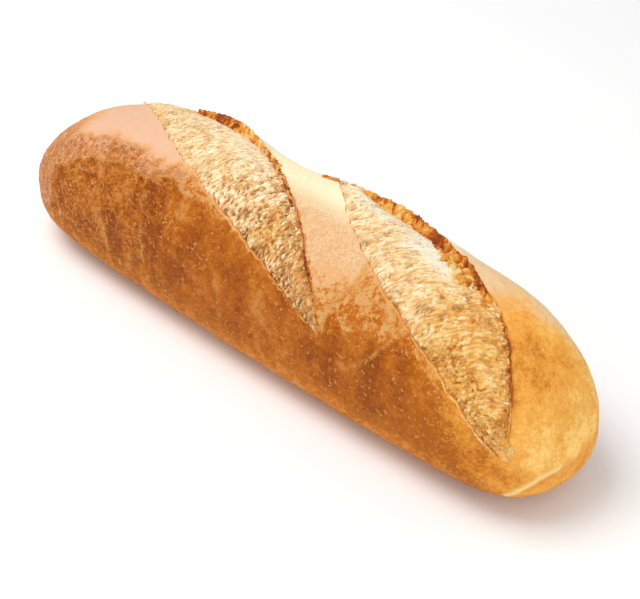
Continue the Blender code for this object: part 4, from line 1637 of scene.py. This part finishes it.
class BAGUETTE_PG_crumb(bpy.types.PropertyGroup):
    """Colours of the torn crumb."""

    # The crumb's colours go by its height: white on the highest fibres is a painted highlight, and the shaded
    # colours of the hollows are painted shade.
    white_crumb: screen_colour("White crumb", "Highest fibres", 255, 250, 234)
    floury_crumb: screen_colour("Floury crumb", "Dry crumb beside the second ear", 243, 236, 216)
    cream_crumb: screen_colour("Cream crumb", "Most of the crumb", 252, 232, 186)
    golden_crumb: screen_colour("Golden crumb", "Sides of the hollows", 237, 201, 148)
    shaded_crumb: screen_colour("Shaded crumb", "Deep in the hollows", 207, 162, 108)
    # Painted shade at the first score's low end.
    painted_shade_crumb: screen_colour("Dusky crumb", "Low end of the first score", 176, 158, 128)
    shaded_hollow_crumb: screen_colour("Hollow crumb", "Bottom of the hollows", 166, 122, 74)
    # Toasted crumb: its highest fibres carry a painted highlight and its hollows painted shade.
    toasted_crumb: screen_colour("Toasted crumb", "Lower end of the second score", 233, 180, 90)
    toasted_top: screen_colour("Toasted ridges", "Highest fibres of the toasted crumb", 252, 216, 150)
    shaded_toast: screen_colour("Deep toast", "Hollows of the toasted crumb", 204, 130, 48)
    stroke: screen_colour("Strokes", "Golden strokes along the fibres", 227, 156, 76)
    rosy_crumb: screen_colour("Rosy crumb", "Faint rosy patches", 240, 200, 160)


class BAGUETTE_PG_ears(bpy.types.PropertyGroup):
    """Colours of the torn ears."""

    # On the ears the darkest colours are partly painted shade between the knobs, and the lightest partly a
    # painted highlight on their tops.
    golden_ear: screen_colour("Golden", "Tops of the lightest knobs", 246, 180, 80)
    pale_ear: screen_colour("Pale", "Lightest crags", 250, 212, 142)
    middle_ear: screen_colour("Middle", "Most of the knobs", 224, 144, 54)
    dark_ear: screen_colour("Dark", "Between the knobs", 190, 94, 28)
    darkest_ear: screen_colour("Darkest", "Deep between the knobs", 142, 66, 22)


class BAGUETTE_PG_strands(bpy.types.PropertyGroup):
    """Number and size of the loose strands on the crumb."""

    count: IntProperty(name="Count", description="Strands on each score", default=300, min=1, max=900)
    length: FloatProperty(name="Length", description="Length of the longest strands", default=0.0028,
                          min=0.001, max=0.02, subtype="DISTANCE", unit="LENGTH", precision=4)
    breadth: FloatProperty(name="Breadth", description="Breadth of the strands", default=0.00046,
                           min=0.0002, max=0.004, subtype="DISTANCE", unit="LENGTH", precision=5)


class BAGUETTE_PG_studio(bpy.types.PropertyGroup):
    """Light on the loaf."""

    key: FloatProperty(name="Key light", description="Power of the large light above", default=6.0,
                       min=0.0, subtype="POWER", unit="POWER")
    fill: FloatProperty(name="Fill light", description="Power of the light on the near side", default=2.8,
                        min=0.0, subtype="POWER", unit="POWER")
    room: FloatProperty(name="Room light", description="Strength of the even light all round",
                        default=0.55, min=0.0)


# ---- operators ----


def add_piece(data, finish):
    """Puts a mesh in the scene as a piece that rides on the loaf's body."""
    data.materials.append(finish)
    piece = bpy.data.objects.new(data.name, data)
    bpy.context.scene.collection.objects.link(piece)
    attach(piece, "root")
    return piece


class BAGUETTE_OT_loaf(bpy.types.Operator):
    """Bake the loaf with its scores cut open"""

    bl_idname = "baguette.loaf"
    bl_label = "Loaf"

    def execute(self, context):
        loaf = add_piece(build_loaf(), crust_finish(context.scene.baguette_crust))
        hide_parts("loaf")
        return {"FINISHED"}


class BAGUETTE_OT_crumb(bpy.types.Operator):
    """Lay the torn crumb into both scores"""

    bl_idname = "baguette.crumb"
    bl_label = "Torn crumb"

    def execute(self, context):
        finish = crumb_finish(context.scene.baguette_crumb)
        for number in range(len(SCORES)):
            add_piece(build_crumb(number), finish)
        return {"FINISHED"}


class BAGUETTE_OT_ears(bpy.types.Operator):
    """Tear the ears of both scores"""

    bl_idname = "baguette.ears"
    bl_label = "Torn ears"

    def execute(self, context):
        finish = torn_finish("torn_ear", context.scene.baguette_ears, 0.0007)
        for number in range(len(SCORES)):
            add_piece(build_ear(number), finish)
        return {"FINISHED"}


class BAGUETTE_OT_crags(bpy.types.Operator):
    """Scatter loose crags beside the scores"""

    bl_idname = "baguette.crags"
    bl_label = "Torn crags"

    def execute(self, context):
        add_piece(build_crags(), torn_finish("torn_crag", context.scene.baguette_ears, 0.0006))
        return {"FINISHED"}


class BAGUETTE_OT_strands(bpy.types.Operator):
    """Scatter loose strands over the crumb"""

    bl_idname = "baguette.strands"
    bl_label = "Crumb strands"

    def execute(self, context):
        sizes = context.scene.baguette_strands
        data = build_strands(sizes.count, sizes.length, sizes.breadth)
        add_piece(data, strand_finish(context.scene.baguette_crumb))
        return {"FINISHED"}


class BAGUETTE_OT_stage(bpy.types.Operator):
    """Set the floor, the lights and the camera"""

    bl_idname = "baguette.stage"
    bl_label = "Stage"

    def execute(self, context):
        studio = context.scene.baguette_studio
        self.add_floor()
        self.add_light("key_light", studio.key, **KEY_LIGHT)
        self.add_light("fill_light", studio.fill, **FILL_LIGHT)
        world = bpy.data.worlds.new("room")
        world.use_nodes = True
        world.node_tree.nodes["Background"].inputs["Color"].default_value = (1.0, 1.0, 1.0, 1.0)
        world.node_tree.nodes["Background"].inputs["Strength"].default_value = studio.room
        context.scene.world = world
        context.scene.view_settings.view_transform = "Standard"
        self.add_camera(context.scene)
        return {"FINISHED"}

    def add_floor(self):
        """Puts a plain pale floor under the loaf."""
        data = bpy.data.meshes.new("floor")
        corners = [(x * FLOOR_REACH, y * FLOOR_REACH, 0.0) for x, y in ((-1, -1), (1, -1), (1, 1), (-1, 1))]
        data.from_pydata(corners, [], [(0, 1, 2, 3)])
        floor = bpy.data.objects.new("floor", data)
        bpy.context.scene.collection.objects.link(floor)
        finish = Finish("pale_floor", Base_Color=(0.93, 0.93, 0.93, 1.0), Roughness=0.9)
        data.materials.append(finish.material)

    def add_light(self, name, power, place, size):
        """Hangs a soft light that points at the loaf."""
        light = bpy.data.lights.new(name, "AREA")
        light.energy = power
        light.size = size
        lamp = bpy.data.objects.new(name, light)
        lamp.location = place
        lamp.rotation_euler = (VIEW_AIM - lamp.location).to_track_quat("-Z", "Y").to_euler()
        bpy.context.scene.collection.objects.link(lamp)

    def add_camera(self, scene):
        """Sets the camera at the photograph's angle."""
        turn = math.radians(VIEW_TURN)
        height = math.radians(VIEW_HEIGHT)
        level = math.cos(height)
        back = Vector((math.sin(turn) * level, -math.cos(turn) * level, math.sin(height)))
        lens = bpy.data.cameras.new("camera")
        lens.sensor_width = SENSOR_WIDTH
        lens.lens = FOCAL_PIXELS * SENSOR_WIDTH / IMAGE_SIZE[0]
        lens.shift_x = (IMAGE_SIZE[0] / 2.0 - CENTRE_PIXEL[0]) / IMAGE_SIZE[0]
        lens.shift_y = (CENTRE_PIXEL[1] - IMAGE_SIZE[1] / 2.0) / IMAGE_SIZE[0]
        camera = bpy.data.objects.new("camera", lens)
        camera.location = VIEW_AIM + back * VIEW_DISTANCE
        camera.rotation_euler = (-back).to_track_quat("-Z", "Y").to_euler()
        scene.collection.objects.link(camera)
        scene.camera = camera


class BAGUETTE_PT_sidebar(bpy.types.Panel):
    """Lists the steps that make the baguette, and its settings"""

    bl_label = "Baguette"
    bl_idname = "BAGUETTE_PT_sidebar"
    bl_space_type = "VIEW_3D"
    bl_region_type = "UI"
    bl_category = "Baguette"

    def draw(self, context):
        for operator in OPERATORS:
            self.layout.operator(operator.bl_idname)
        for group in GROUPS:
            settings = getattr(context.scene, group)
            for name in settings.bl_rna.properties.keys():
                if name not in ("rna_type", "name"):
                    self.layout.prop(settings, name)


GROUPS = {
    "baguette_crust": BAGUETTE_PG_crust,
    "baguette_crumb": BAGUETTE_PG_crumb,
    "baguette_ears": BAGUETTE_PG_ears,
    "baguette_strands": BAGUETTE_PG_strands,
    "baguette_studio": BAGUETTE_PG_studio,
}
OPERATORS = (
    BAGUETTE_OT_loaf,
    BAGUETTE_OT_crumb,
    BAGUETTE_OT_ears,
    BAGUETTE_OT_crags,
    BAGUETTE_OT_strands,
    BAGUETTE_OT_stage,
)
CLASSES = (*GROUPS.values(), *OPERATORS, BAGUETTE_PT_sidebar)


def register():
    """Makes the classes and their settings known to Blender."""
    for made in CLASSES:
        bpy.utils.register_class(made)
    for name, group in GROUPS.items():
        setattr(bpy.types.Scene, name, PointerProperty(type=group))


def unregister():
    """Takes the settings and the classes out again."""
    for name in GROUPS:
        delattr(bpy.types.Scene, name)
    for made in reversed(CLASSES):
        bpy.utils.unregister_class(made)


def main():
    """Builds every piece and the stage."""
    register()
    bpy.ops.baguette.loaf()
    bpy.ops.baguette.crumb()
    bpy.ops.baguette.ears()
    bpy.ops.baguette.crags()
    bpy.ops.baguette.strands()
    bpy.ops.baguette.stage()


if __name__ == "__main__":
    main()
